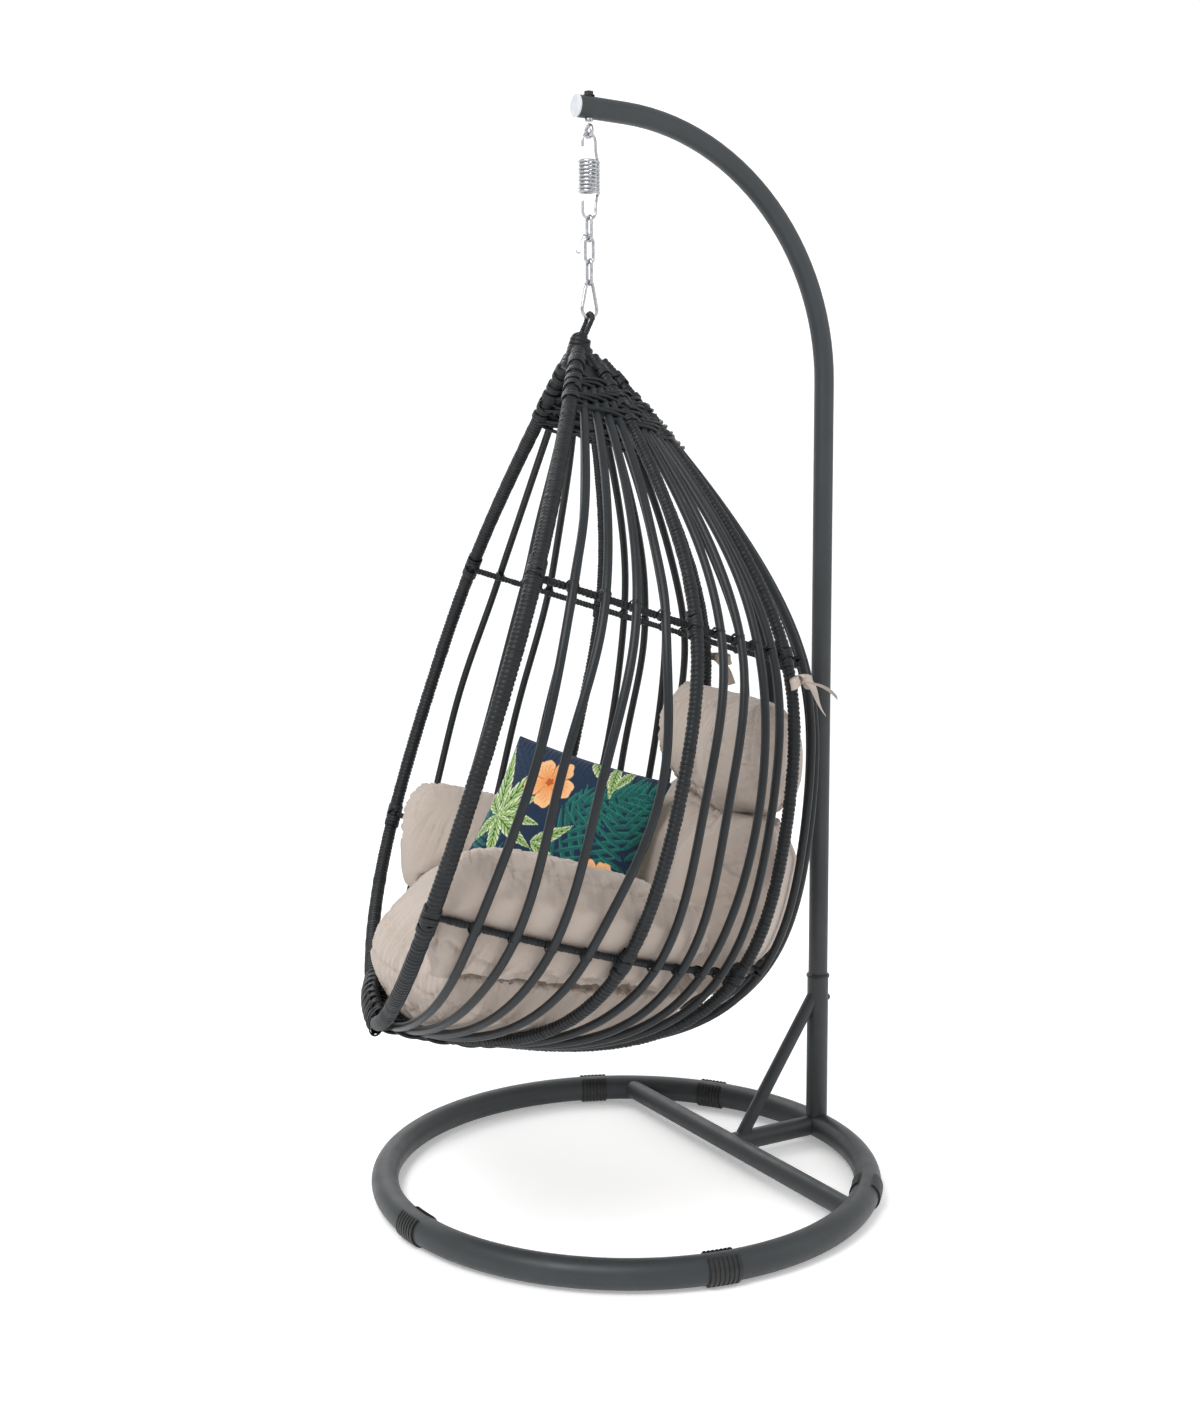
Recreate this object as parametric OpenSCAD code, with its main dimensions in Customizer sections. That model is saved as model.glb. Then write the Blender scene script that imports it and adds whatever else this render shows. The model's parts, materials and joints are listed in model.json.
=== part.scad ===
// Hanging egg chair: round base, curved steel arm, spring and chain, half-egg cane basket, cushions.
// Origin: on the floor, under the middle of the whole chair. X runs from the hook to the post.

/* [Base] */
// Radius of the base ring's centreline
ring_r = 450; // [430:5:470]
// Outside diameter of the base ring tube
ring_tube = 50; // [46:1:52]
// Angle from the post to each end of the cross tube
chord_angle = 58; // [54:0.5:60]
// Outside diameter of the cross tube and of the short tube under the brace
cross_tube = 38; // [34:1:40]
// Outside diameter of the slanting brace
brace_tube = 25; // [22:1:28]
// Thickness of the plastic clips that the ring stands on
clip_wall = 3; // [2:0.5:4]
// Width of each clip along the ring
clip_w = 54; // [48:1:60]

/* [Post and arm] */
// Outside diameter of the lower post
post_tube = 42; // [42:0.5:44]
// Height of the top of the lower post
post_top = 333; // [320:1:350]
// Outside diameter of the curved arm tube
arm_tube = 38; // [36:0.5:38]
// Height of the centreline of the arm's level end
arm_z = 1957; // [1940:1:1970]
// Radius of the arm's bend
arm_bend = 450; // [430:5:490]
// Wall thickness of all the steel tubes
tube_wall = 1.8; // [1.5:0.1:2]
// Distance from the post's axis to the hang axis
reach = 523; // [515:1:530]

/* [Hanging gear] */
// Wire diameter of the spring
spring_wire = 5; // [4.5:0.5:5.5]
// Mean radius of the spring coil
spring_r = 17; // [16:0.5:18]
// Number of turns of the spring coil
spring_turns = 9; // [8:1:10]
// Wire diameter of the chain links
link_wire = 5.5; // [5:0.5:6]
// Outside length of a chain link
link_len = 49; // [47:1:51]
// Wire diameter of the carabiner
snap_wire = 6; // [5.5:0.5:6]

/* [Basket] */
// Direction in which the basket faces, from +X
facing = 160.4; // [158:0.1:162]
// Diameter of the two rims at the mouth of the basket
rim_d = 26; // [24:1:30]
// Diameter of the four wrapped rails behind the rims
rail_d = 21; // [19:1:25]
// Diameter of the smooth canes
cane_d = 15; // [12:0.5:15]
// Diameter of the two rings that cross the canes
hoop_d = 12; // [10:1:13]
// Angle of the rims round the egg, measured from its back
rim_phi = 92; // [90:1:93]
// Angle of the side rails
side_phi = 63; // [61:1:64]
// Angle of the back rails
back_phi = 36; // [34:1:37]
// Place of the upper cross ring, from the top of the egg to its foot
hoop_top = 0.25; // [0.24:0.005:0.26]
// Place of the lower cross ring
hoop_low = 0.7165; // [0.70:0.0005:0.73]

/* [Soft parts] */
// Gap between the canes and the cushions
soft_gap = 6; // [4:1:8]
// Width of the scatter pillow
pillow_w = 340; // [320:10:350]
// Height of the scatter pillow
pillow_h = 284; // [264:10:294]
// Thickness of the scatter pillow
pillow_t = 104; // [84:5:109]

/* [Hidden] */
$fn = 64;
fit = 0.3;              // free gap between pieces that move on each other
run = 0.05;             // radial running clearance of the small pins
// The ring's centre, measured from the origin
stand_x = 45.3;
stand_y = -63.5;
ring_z = ring_tube / 2 + clip_wall;
post_x = stand_x + ring_r;
hang_x = post_x - reach;
hang_y = stand_y;
arm_spring_z = arm_z - arm_bend;      // where the arm starts to bend
arm_inside = 150;                     // length of the arm inside the lower post
arm_tail = 24;                        // from the hang axis to the arm's end
chord_x = ring_r * cos(chord_angle);
chord_half = ring_r * sin(chord_angle);
bolt_z = post_top - 45;
brace_foot_x = chord_x + 20;
brace_top_z = post_top - 22;
clip_angles = [-174, -101, -45, 35, 68];
clip_gap = 24;                        // width of the clips' open top
clip_ribs = 7;

// Hanging gear heights, from the arm down
eye_wire = 7;
eye_r = 10;
eye_flange = 4;
eye_neck = 4;
eye_z = arm_z - arm_tube / 2 - eye_flange - eye_neck - eye_r - eye_wire / 2;
eye_bar_z = eye_z - eye_r;
hook_r = 13;
spring_hook_top = eye_bar_z + (eye_wire + spring_wire) / 2 + fit;
coil_top = 1868;
coil_bottom = 1810;
coil_drop = coil_top - coil_bottom;
spring_hook_low = 1766.5;
link_r = 8;
link_1_top = spring_hook_low + (spring_wire + link_wire) / 2 + fit;
link_drop = link_len - link_wire;
link_2_top = link_1_top - link_drop + link_wire + fit;
link_3_top = link_2_top - link_drop + link_wire + fit;
snap_top = link_3_top - link_drop + (link_wire + snap_wire) / 2 + fit;
snap_len = 64;
snap_low = snap_top - snap_len;
snap_r_top = 6.4;
snap_r_low = 15;
loop_wire = 9;
loop_r = 11;
loop_top = snap_low + (snap_wire + loop_wire) / 2 + fit;

// The egg: its axis runs from the top down to the foot at the front, in the basket's own frame
egg_top = [16, 0, 1561];
egg_foot = [398, 0, 352];
egg_s = [0, 0.5, 0.4, 0.9, 1];           // travel along the axis
egg_d = [0, 1110, 110, 1340, 0];         // depth behind the axis
egg_w = [0, 880, 240, 885, 0];           // half width beside the axis
egg_axis = egg_foot - egg_top;
egg_dir = egg_axis / norm(egg_axis);
egg_back = [egg_dir[2], 0, -egg_dir[0]];
rail_start = 0.008;
cane_start = 0.05;
lip_t = 0.957;
collar_t = 0.047;
hoop_in = (cane_d + hoop_d) / 2;         // the hoops run inside the canes
cane_clump = 0.05;                       // how far the canes of a bay draw together
rim_steps = 34;
cane_steps = 24;

// ---- functions --------------------------------------------------------------------------------
function unit(v) = v / norm(v);
function choose4(i) = [1, 4, 6, 4, 1][i];
function bez(t, c) = c[0] * pow(1 - t, 4) + 4 * c[1] * t * pow(1 - t, 3)
  + 6 * c[2] * t * t * pow(1 - t, 2) + 4 * c[3] * pow(t, 3) * (1 - t) + c[4] * pow(t, 4);
function egg(t, phi) = egg_top + egg_axis * bez(t, egg_s) + egg_back * bez(t, egg_d) * cos(phi)
  + [0, bez(t, egg_w) * sin(phi), 0];
function egg_in(t, phi) = unit(cross(egg(t + 0.004, phi) - egg(t - 0.004, phi),
  egg(t, phi + 0.5) - egg(t, phi - 0.5)));
function egg_at(t, phi, depth) = egg(t, phi) + egg_in(t, phi) * depth;
function reach_at(t) = (bez(t, egg_d) + bez(t, egg_w)) / 2;
// Angle of cane i of n between two rails
function cane_phi(a, b, i, n) = a + (b - a) * (0.5 + (i / (n + 1) - 0.5) * (1 - cane_clump));
function steps(a, b, n) = [for (i = [0:n]) a + (b - a) * i / n];

// Frames carried along a path without twist
function tangent(p, i) = unit(p[min(i + 1, len(p) - 1)] - p[max(i - 1, 0)]);
function square_to(n, t) = unit(n - t * (n * t));
function normals(p, n0) = [for (i = 0, n = square_to(n0, tangent(p, 0)); i < len(p);
  i = i + 1, n = i < len(p) ? square_to(n, tangent(p, i)) : n) n];

// A tube swept along a path; rads gives its radius at each point, flat squashes one side
module sweep(p, rads, sides, n0, flat = 1) {
  n = normals(p, n0);
  rings = [for (i = [0:len(p) - 1]) for (k = [0:sides - 1])
    let (t = tangent(p, i), b = cross(t, n[i]), a = 360 * (k + 0.5) / sides)
    p[i] + n[i] * rads[i] * cos(a) + b * rads[i] * flat * sin(a)];
  last = (len(p) - 1) * sides;
  polyhedron(rings, concat(
    [[for (k = [0:sides - 1]) k]],
    [for (i = [0:len(p) - 2]) for (k = [0:sides - 1]) let (a = i * sides, m = (k + 1) % sides)
      [a + k, a + sides + k, a + sides + m, a + m]],
    [[for (k = [sides - 1:-1:0]) last + k]]), convexity = 10);
}

module in_basket() {
  translate([hang_x, hang_y, 0]) rotate([0, 0, facing]) children();
}

// A rail that thins where it crowds against its neighbours
module rail(phi, d, t0, t1, crowd, sides, n) {
  ts = steps(t0, t1, n);
  in_basket() sweep([for (t = ts) egg(t, phi)], [for (t = ts) min(d / 2, crowd * reach_at(t))],
    sides, [0, 1, 0]);
}
module wrapped_rail(phi, d) { rail(phi, d, rail_start, lip_t + 0.008, 0.215, 12, rim_steps); }
module bay(a, b, n) {
  for (i = [1:n]) rail(cane_phi(a, b, i, n), cane_d, cane_start, lip_t + 0.004, 0.05, 8, cane_steps);
}

// A band that follows the egg across the canes
module hoop(t, d) {
  p = steps(-rim_phi, rim_phi, 44);
  in_basket() sweep([for (a = p) egg_at(t, a, hoop_in)], [for (a = p) d / 2], 8, egg_dir);
}

// A short sleeve round each crossing of a cane and a hoop
module ties(t, phis, d) {
  for (a = phis) in_basket() {
    z = unit(egg(t + 0.01, a) - egg(t - 0.01, a));
    translate(egg_at(t, a, hoop_in / 2)) rotate([0, acos(z[2]), atan2(z[1], z[0])])
      cylinder(h = 16, d = d, center = true);
  }
}
all_cane_phis = [for (i = [1:4]) for (s = [-1, 1]) each [s * cane_phi(rim_phi, side_phi, i, 4),
  s * cane_phi(side_phi, back_phi, i, 4)]];
back_cane_phis = [for (i = [1:6]) cane_phi(back_phi, -back_phi, i, 6)];

// Faces of a slab whose points are two grids of (m + 1) by (n + 1), the upper grid first
function slab_faces(m, n) = let (w = n + 1, side = (m + 1) * w,
  outer = [for (i = [0:m - 1]) for (j = [0:n - 1]) let (a = i * w + j)
    each [[a, a + 1, a + w], [a + 1, a + w + 1, a + w]]],
  inner = [for (f = outer) [side + f[0], side + f[2], side + f[1]]],
  edge = concat([for (j = [0:n - 1]) j], [for (i = [0:m - 1]) i * w + n],
    [for (j = [n:-1:1]) m * w + j], [for (i = [m:-1:1]) i * w]),
  wall = [for (e = [0:len(edge) - 1]) let (a = edge[e], b = edge[(e + 1) % len(edge)])
    each [[a, side + b, b], [a, side + a, side + b]]])
  concat(outer, inner, wall);

// How much lower the seat's edge lies towards the front, as a share of the egg
seat_sag = 0.03;
function sag(p) = seat_sag * pow(abs(p) / 88, 4);
// A pad that lies inside the egg, thickest in its middle and rounded at its corners
module pad(t0, t1, p0, p1, inset, thick, m, n, power = 4, plump = 0.5, sags = true) {
  swell = function (u) pow(1 - pow(abs(u), power), 0.5);
  deep = function (u, v) thick * (0.2 + 0.8 * swell(u) * swell(v));
  ease = function (u, v) u * sqrt(1 - plump * v * v / 2);
  pt = function (u, v, k) let (p = (p0 + p1 + (p1 - p0) * ease(v, u)) / 2, low = t1 + (sags ? sag(p) : 0))
    egg_at((t0 + low + (low - t0) * ease(u, v)) / 2, p, inset + k * deep(u, v));
  pts = [for (k = [1, 0]) for (i = [0:m]) for (j = [0:n]) pt(2 * i / m - 1, 2 * j / n - 1, k)];
  in_basket() polyhedron(pts, slab_faces(m, n), convexity = 6);
}

// ---- base -------------------------------------------------------------------------------------
module at_stand() { translate([stand_x, stand_y, 0]) children(); }
module ring_solid(d) {
  translate([0, 0, ring_z]) rotate_extrude($fn = 96) translate([ring_r, 0]) circle(d = d);
}
module tube_x(x0, x1, d, wall) {
  translate([x0, 0, 0]) rotate([0, 90, 0]) difference() {
    cylinder(h = x1 - x0, d = d);
    translate([0, 0, -1]) cylinder(h = x1 - x0 + 2, d = d - 2 * wall);
  }
}
module base_ring() color([0.22, 0.23, 0.24]) at_stand() difference() {
  ring_solid(ring_tube);
  ring_solid(ring_tube - 2 * tube_wall);
}
module cross_bar() color([0.22, 0.23, 0.24]) at_stand() difference() {
  translate([chord_x, 0, ring_z]) rotate([0, 0, 90]) tube_x(-chord_half, chord_half, cross_tube, tube_wall);
  ring_solid(ring_tube);
}
module short_bar() color([0.22, 0.23, 0.24]) at_stand() difference() {
  translate([0, 0, ring_z]) tube_x(chord_x, ring_r, cross_tube, tube_wall);
  ring_solid(ring_tube);
  translate([chord_x, 0, ring_z]) rotate([90, 0, 0])
    cylinder(h = 2 * ring_tube + ring_r / 2, d = cross_tube, center = true);
}
module brace() color([0.22, 0.23, 0.24]) at_stand() difference() {
  dx = ring_r - brace_foot_x;
  dz = brace_top_z - ring_z;
  translate([brace_foot_x, 0, ring_z]) rotate([0, atan2(dx, dz), 0]) difference() {
    cylinder(h = norm([dx, dz]), d = brace_tube);
    translate([0, 0, -1]) cylinder(h = norm([dx, dz]) + 2, d = brace_tube - 2 * tube_wall);
  }
  translate([ring_r, 0, 0]) cylinder(h = 500, d = post_tube);
  translate([chord_x - 30, 0, ring_z]) rotate([0, 90, 0]) cylinder(h = 260, d = cross_tube);
}
// A C-shaped profile round the ring's tube, open at the top
module clip_profile(outer, bore, gap) {
  translate([ring_r, 0]) difference() {
    circle(d = outer);
    circle(d = bore);
    translate([-gap / 2, 0]) square([gap, ring_tube]);
  }
}
// Plastic clips under the ring, with ribs round the tube that are cut flat at the floor
module base_clips() color([0.07, 0.07, 0.08]) at_stand() for (a = clip_angles) {
  span = clip_w / ring_r * 180 / PI;
  step = span / clip_ribs;
  shell = ring_tube + 2 * clip_wall - 2;
  translate([0, 0, ring_z]) rotate([0, 0, a - span / 2]) {
    rotate_extrude(angle = span) clip_profile(shell, ring_tube + 2 * run, clip_gap);
    for (k = [0:clip_ribs - 1]) rotate([0, 0, (k + 0.2) * step])
      rotate_extrude(angle = 0.6 * step) difference() {
        clip_profile(shell + 3, shell - 1.5, clip_gap + 5);
        translate([ring_r - ring_tube, -ring_z - ring_tube]) square([2 * ring_tube, ring_tube]);
      }
  }
}

// ---- post and arm -----------------------------------------------------------------------------
module at_post() { translate([post_x, stand_y, 0]) children(); }
module at_hang() { translate([hang_x, hang_y, 0]) children(); }
post_bore = arm_tube + 2 * run;
module lower_post() color([0.22, 0.23, 0.24]) difference() {
  at_post() difference() {
    translate([0, 0, ring_z]) cylinder(h = post_top - ring_z, d = post_tube);
    translate([0, 0, ring_z - 1]) cylinder(h = post_top, d = post_bore);
    translate([0, 0, bolt_z]) rotate([0, 90, 0]) cylinder(h = 60, d = 8.2);
  }
  at_stand() ring_solid(ring_tube);
}
module post_collar() color([0.05, 0.05, 0.06]) at_post() translate([0, 0, post_top])
  rotate_extrude() polygon([[arm_tube / 2 + run, 0], [post_tube / 2 + 1.6, 0], [post_tube / 2 + 2.2, 2],
    [post_tube / 2 + 1.6, 5], [arm_tube / 2 + 1.4, 7], [arm_tube / 2 + run, 7]]);
module post_bolt() color([0.05, 0.05, 0.06]) at_post() translate([0, 0, bolt_z]) rotate([0, 90, 0]) {
  translate([0, 0, 8]) cylinder(h = post_tube / 2 - 8 + 1.5, d = 8);
  translate([0, 0, post_tube / 2 + 0.3]) cylinder(h = 1.6, d = 15);
  translate([0, 0, post_tube / 2 + 1.9]) difference() {
    sphere(d = 14);
    translate([0, 0, -10]) cube(20, center = true);
  }
}
// The threaded insert in the arm's wall that the bolt screws into
module post_insert() color([0.75, 0.76, 0.78]) at_post() translate([0, 0, bolt_z]) rotate([0, 90, 0])
  difference() {
    translate([0, 0, 6]) cylinder(h = arm_tube / 2 - tube_wall - 6 - 0.4, d = 12);
    translate([0, 0, 5]) cylinder(h = 40, d = 8);
  }
module arm_solid(d) {
  at_post() {
    translate([0, 0, post_top - arm_inside]) cylinder(h = arm_spring_z - post_top + arm_inside, d = d);
    translate([-arm_bend, 0, arm_spring_z]) rotate([90, 0, 0]) rotate_extrude(angle = 90, $fn = 96)
      translate([arm_bend, 0]) circle(d = d);
    translate([-reach - arm_tail, 0, arm_z]) rotate([0, 90, 0])
      cylinder(h = reach + arm_tail - arm_bend, d = d);
  }
}
module arm() color([0.22, 0.23, 0.24]) difference() {
  arm_solid(arm_tube);
  arm_solid(arm_tube - 2 * tube_wall);
  at_post() translate([0, 0, post_top - arm_inside - 1]) cylinder(h = 10, d = arm_tube - 2 * tube_wall);
  at_post() translate([-reach - arm_tail - 1, 0, arm_z]) rotate([0, 90, 0])
    cylinder(h = 10, d = arm_tube - 2 * tube_wall);
  at_post() translate([0, 0, bolt_z]) rotate([0, 90, 0]) cylinder(h = 60, d = 8.2);
  at_hang() translate([0, 0, arm_z - 60]) cylinder(h = 120, d = 10.2);
}
module end_cap() color([0.72, 0.73, 0.75]) at_post() translate([-reach - arm_tail, 0, arm_z])
  rotate([0, -90, 0]) {
    cylinder(h = 2.5, d = arm_tube + 1);
    translate([0, 0, -10]) cylinder(h = 10, d = arm_tube - 2 * tube_wall - 0.2);
  }

// ---- hanging gear -----------------------------------------------------------------------------
module torus(r, d) { rotate_extrude() translate([r, 0]) circle(d = d); }
module eye_bolt() color([0.8, 0.81, 0.83]) at_hang() {
  translate([0, 0, eye_z]) rotate([0, 90, 0]) torus(eye_r, eye_wire);
  translate([0, 0, arm_z - arm_tube / 2 - eye_flange]) cylinder(h = eye_flange - 0.2, d = 15);
  translate([0, 0, arm_z - arm_tube / 2 - eye_flange - 1]) cylinder(h = arm_tube + eye_flange + 8, d = 10);
}
module eye_nut() color([0.05, 0.05, 0.06]) at_hang() translate([0, 0, arm_z + arm_tube / 2 + 0.2])
  difference() {
    union() {
      cylinder(h = 1.6, d = 21);
      translate([0, 0, 1.6]) cylinder(h = 6, d = 18, $fn = 6);
    }
    translate([0, 0, -1]) cylinder(h = 20, d = 10);
  }
// The spring: an open hook, a close coil and a second open hook, in one wire
function arc_xz(cx, cz, r, a0, a1, n) = [for (a = steps(a0, a1, n)) [cx + r * cos(a), 0, cz + r * sin(a)]];
coil_n = 14;
function spring_path() = concat(
  [[-hook_r, 0, 1890], [-hook_r, 0, 1897]],
  arc_xz(0, spring_hook_top - hook_r, hook_r, 180, 0, 10),
  [[hook_r, 0, 1894], [hook_r + 1, 0, 1882], [hook_r + 3, 0, coil_top + 5]],
  [for (i = [0:spring_turns * coil_n]) let (a = 360 * i / coil_n)
    [spring_r * cos(a), spring_r * sin(a), coil_top - coil_drop * i / (spring_turns * coil_n)]],
  [[hook_r + 3, 0, coil_bottom - 5], [hook_r + 1, 0, 1796], [hook_r, 0, 1786]],
  arc_xz(0, spring_hook_low + hook_r, hook_r, 0, -180, 10),
  [[-hook_r, 0, 1787], [-hook_r, 0, 1796]]);
module spring() color([0.82, 0.83, 0.85]) at_hang() {
  p = spring_path();
  sweep(p, [for (q = p) spring_wire / 2], 8, [0, 1, 0]);
}
// A link standing in the XZ plane, its top bend at height z
module link(z) {
  half = link_drop / 2 - link_r;
  translate([0, 0, z - link_drop / 2]) for (s = [1, -1]) {
    translate([s * link_r, 0, 0]) cylinder(h = 2 * half, d = link_wire, center = true);
    translate([0, 0, s * half]) rotate([90, 0, 0]) rotate([0, 0, s > 0 ? 0 : 180])
      rotate_extrude(angle = 180) translate([link_r, 0]) circle(d = link_wire);
  }
}
module link_1() color([0.82, 0.83, 0.85]) at_hang() rotate([0, 0, 90]) link(link_1_top);
module link_2() color([0.82, 0.83, 0.85]) at_hang() link(link_2_top);
module link_3() color([0.82, 0.83, 0.85]) at_hang() rotate([0, 0, 90]) link(link_3_top);
// A small wire hook, its eye round one leg of the first link
side_hook_z = link_1_top - link_drop + 12;
module side_hook() color([0.8, 0.81, 0.83]) at_hang() translate([0, link_r, side_hook_z]) {
  torus(5, 2.6);
  p = concat([[-5, 0, 0.4], [-8, 0, -2], [-16, 0, -16], [-21, 0, -26]],
    [for (a = steps(170, 380, 10)) [-17.5 + 4 * cos(a), 0, -29 + 4 * sin(a)]]);
  sweep(p, [for (q = p) 1.3], 8, [0, 1, 0]);
}
// Carabiner: two bends joined by straight sides, open on the gate's side
snap_cx_top = snap_top - snap_r_top;
snap_cx_low = snap_low + snap_r_low;
snap_lean = asin((snap_r_low - snap_r_top) / (snap_cx_top - snap_cx_low));
function snap_tan(r, z, s) = [s * r * cos(snap_lean), 0, z + r * sin(snap_lean)];
gate_hi = snap_tan(snap_r_top, snap_cx_top, -1);
gate_lo = snap_tan(snap_r_low, snap_cx_low, -1);
gate_dir = unit(gate_lo - gate_hi);
gate_pivot = gate_hi + gate_dir * 6;
gate_end = gate_lo - gate_dir * 0.5;
gate_tilt = atan2(gate_dir[0], -gate_dir[2]);
module rod(a, b, d) {
  v = b - a;
  translate(a) rotate([0, acos(v[2] / norm(v)), atan2(v[1], v[0])]) cylinder(h = norm(v), d = d);
}
// The gate's own frame: origin on its pin, Z along the gate towards its free end
module at_gate() { translate(gate_pivot) rotate([0, 180 - gate_tilt, 0]) children(); }
pin_d = 1.8;
module snap_body() color([0.82, 0.83, 0.85]) at_hang() difference() {
  union() {
    wire = concat([gate_lo], arc_xz(0, snap_cx_low, snap_r_low, 190 - snap_lean, 350 + snap_lean, 16),
      [for (u = [0, 0.5, 1]) snap_tan(snap_r_low, snap_cx_low, 1) * (1 - u)
        + snap_tan(snap_r_top, snap_cx_top, 1) * u],
      arc_xz(0, snap_cx_top, snap_r_top, 15 + snap_lean, 165 - snap_lean, 10),
      [gate_hi, gate_hi + gate_dir * 2.2]);
    sweep(wire, [for (p = wire) snap_wire / 2], 12, [0, 1, 0]);
    // tongue inside the gate's fork
    at_gate() {
      translate([-1.7, -1, -5]) cube([3.4, 2, 5]);
      rotate([90, 0, 0]) cylinder(h = 2, d = 4.4, center = true);
    }
  }
  at_gate() rotate([90, 0, 0]) cylinder(h = 20, d = pin_d, center = true);
}
module snap_gate() color([0.76, 0.77, 0.8]) at_hang() difference() {
  rod(gate_hi + gate_dir * 4.2, gate_end, snap_wire + 0.6);
  // slot of the fork
  at_gate() translate([0, 0, -6]) cube([20, 2.4, 20], center = true);
  at_gate() rotate([90, 0, 0]) cylinder(h = 20, d = pin_d + 2 * run, center = true);
}
module snap_pin() color([0.6, 0.61, 0.63]) at_hang() at_gate() rotate([90, 0, 0])
  cylinder(h = snap_wire + 0.4, d = pin_d, center = true);

// ---- basket -----------------------------------------------------------------------------------
module top_loop() color([0.1, 0.11, 0.12]) at_hang() rotate([0, 0, 90]) {
  for (s = [-1, 1]) translate([s * loop_r, 0, 1560]) cylinder(h = loop_top - loop_r - 1560, d = loop_wire);
  translate([0, 0, loop_top - loop_r]) rotate([90, 0, 0]) rotate_extrude(angle = 180)
    translate([loop_r, 0]) circle(d = loop_wire);
}
module apex_wrap() color([0.09, 0.1, 0.11]) in_basket() translate([14, 0, 1508]) rotate_extrude()
  polygon([[0, 0], [30, 0], [36, 8], [35, 20], [29, 40], [22, 58], [14, 68], [0, 70]]);
module near_rim() color([0.1, 0.11, 0.12]) wrapped_rail(rim_phi, rim_d);
module near_side_rail() color([0.1, 0.11, 0.12]) wrapped_rail(side_phi, rail_d);
module near_back_rail() color([0.1, 0.11, 0.12]) wrapped_rail(back_phi, rail_d);
module far_back_rail() color([0.1, 0.11, 0.12]) wrapped_rail(-back_phi, rail_d);
module far_side_rail() color([0.1, 0.11, 0.12]) wrapped_rail(-side_phi, rail_d);
module far_rim() color([0.1, 0.11, 0.12]) wrapped_rail(-rim_phi, rim_d);
module canes_near_front() color([0.13, 0.14, 0.15]) bay(rim_phi, side_phi, 4);
module canes_near_back() color([0.13, 0.14, 0.15]) bay(side_phi, back_phi, 4);
module canes_back() color([0.13, 0.14, 0.15]) bay(back_phi, -back_phi, 6);
module canes_far_back() color([0.13, 0.14, 0.15]) bay(-back_phi, -side_phi, 4);
module canes_far_front() color([0.13, 0.14, 0.15]) bay(-side_phi, -rim_phi, 4);
module upper_hoop() color([0.1, 0.11, 0.12]) hoop(hoop_top, hoop_d);
module lower_hoop() color([0.1, 0.11, 0.12]) hoop(hoop_low, hoop_d);
module upper_ties() color([0.08, 0.09, 0.1]) ties(hoop_top, concat(all_cane_phis, back_cane_phis), 24);
module lower_ties() color([0.08, 0.09, 0.1]) ties(hoop_low, concat(all_cane_phis, back_cane_phis), 24);
module top_collar() color([0.09, 0.1, 0.11]) {
  p = steps(-rim_phi, rim_phi, 30);
  in_basket() sweep([for (a = p) egg(collar_t, a)], [for (a = p) 19], 10, egg_dir, 0.5);
}
// The woven bar round the foot of the egg, straight across the front
module front_lip() color([0.08, 0.09, 0.1]) {
  p = steps(-rim_phi, rim_phi, 30);
  in_basket() sweep([for (a = p) egg(lip_t, a)], [for (a = p) 15], 10, egg_dir);
  near = egg(lip_t, 90);
  far = egg(lip_t, -90);
  in_basket() sweep([for (u = steps(-1, 1, 6)) near * (1 + u) / 2 + far * (1 - u) / 2],
    [for (u = [0:6]) 15], 10, egg_dir);
}
module lip_weave() color([0.07, 0.08, 0.09])
  pad(lip_t + 0.002, 0.993, -rim_phi, rim_phi, -3, 8, 3, 16, 12, 0, false);

// ---- soft parts -------------------------------------------------------------------------------
soft_in = cane_d / 2 + hoop_d + soft_gap;
seat_t = 0.775;                          // where the seat cushion's edge meets the canes
arm_t = 0.60;
head_t = 0.465;
head_top_t = 0.295;
soft_split = 0.007;                      // gap between two cushions, as a share of the egg
front_roll = 84;                         // how far the seat cushion stands out in front
// Loops of points joined into a closed skin: the first and the last loop are filled in
module loft(loops) {
  n = len(loops[0]);
  last = (len(loops) - 1) * n;
  polyhedron([for (r = loops) each r], concat([[for (k = [n - 1:-1:0]) k]],
    [for (i = [0:len(loops) - 2]) for (k = [0:n - 1]) let (a = i * n, m = (k + 1) % n)
      each [[a + k, a + m, a + n + m], [a + k, a + n + m, a + n + k]]],
    [[for (k = [0:n - 1]) last + k]]), convexity = 8);
}
// The seat fills the foot of the egg, rolls out over the front and dips in its middle
module seat_cushion() color([0.66, 0.6, 0.54]) {
  low_t = 0.955;
  wide = 88;
  front = -egg_back;
  edge = function (t, p) egg_at(t + sag(p) * (low_t - t) / (low_t - seat_t), p, soft_in);
  loop = function (t, bulge) let (a = edge(t, wide), b = edge(t, -wide))
    concat([for (p = steps(-wide, wide, 18)) edge(t, p)],
      [for (u = steps(0.125, 0.875, 6)) a + (b - a) * u + front * bulge * sin(180 * u)]);
  bulge = function (t) front_roll * pow(sin(20 + 140 * (low_t - t) / (low_t - seat_t)), 0.6);
  side = [for (t = steps(low_t, seat_t, 6)) loop(t, bulge(t))];
  rim = side[6];
  mid = egg_top + egg_axis * 0.79 + egg_back * 230;
  dip = [-26, -12, 8];
  top = [for (k = [1:3]) [for (p = rim) p + (mid - p) * k / 3.6 + egg_dir * dip[k - 1]]];
  in_basket() loft(concat(side, top));
}
module near_arm_cushion() color([0.66, 0.6, 0.54])
  pad(arm_t + 0.01, seat_t - soft_split, 43, 94.5, soft_in, 130, 8, 12, 3);
module far_arm_cushion() color([0.66, 0.6, 0.54])
  pad(arm_t + 0.03, seat_t - soft_split, -93, -44, soft_in, 130, 8, 12, 3);
module back_cushion() color([0.66, 0.6, 0.54])
  pad(head_t + soft_split, seat_t - soft_split, -41, 41, soft_in, 185, 8, 14, 4, 0.2);
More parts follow.
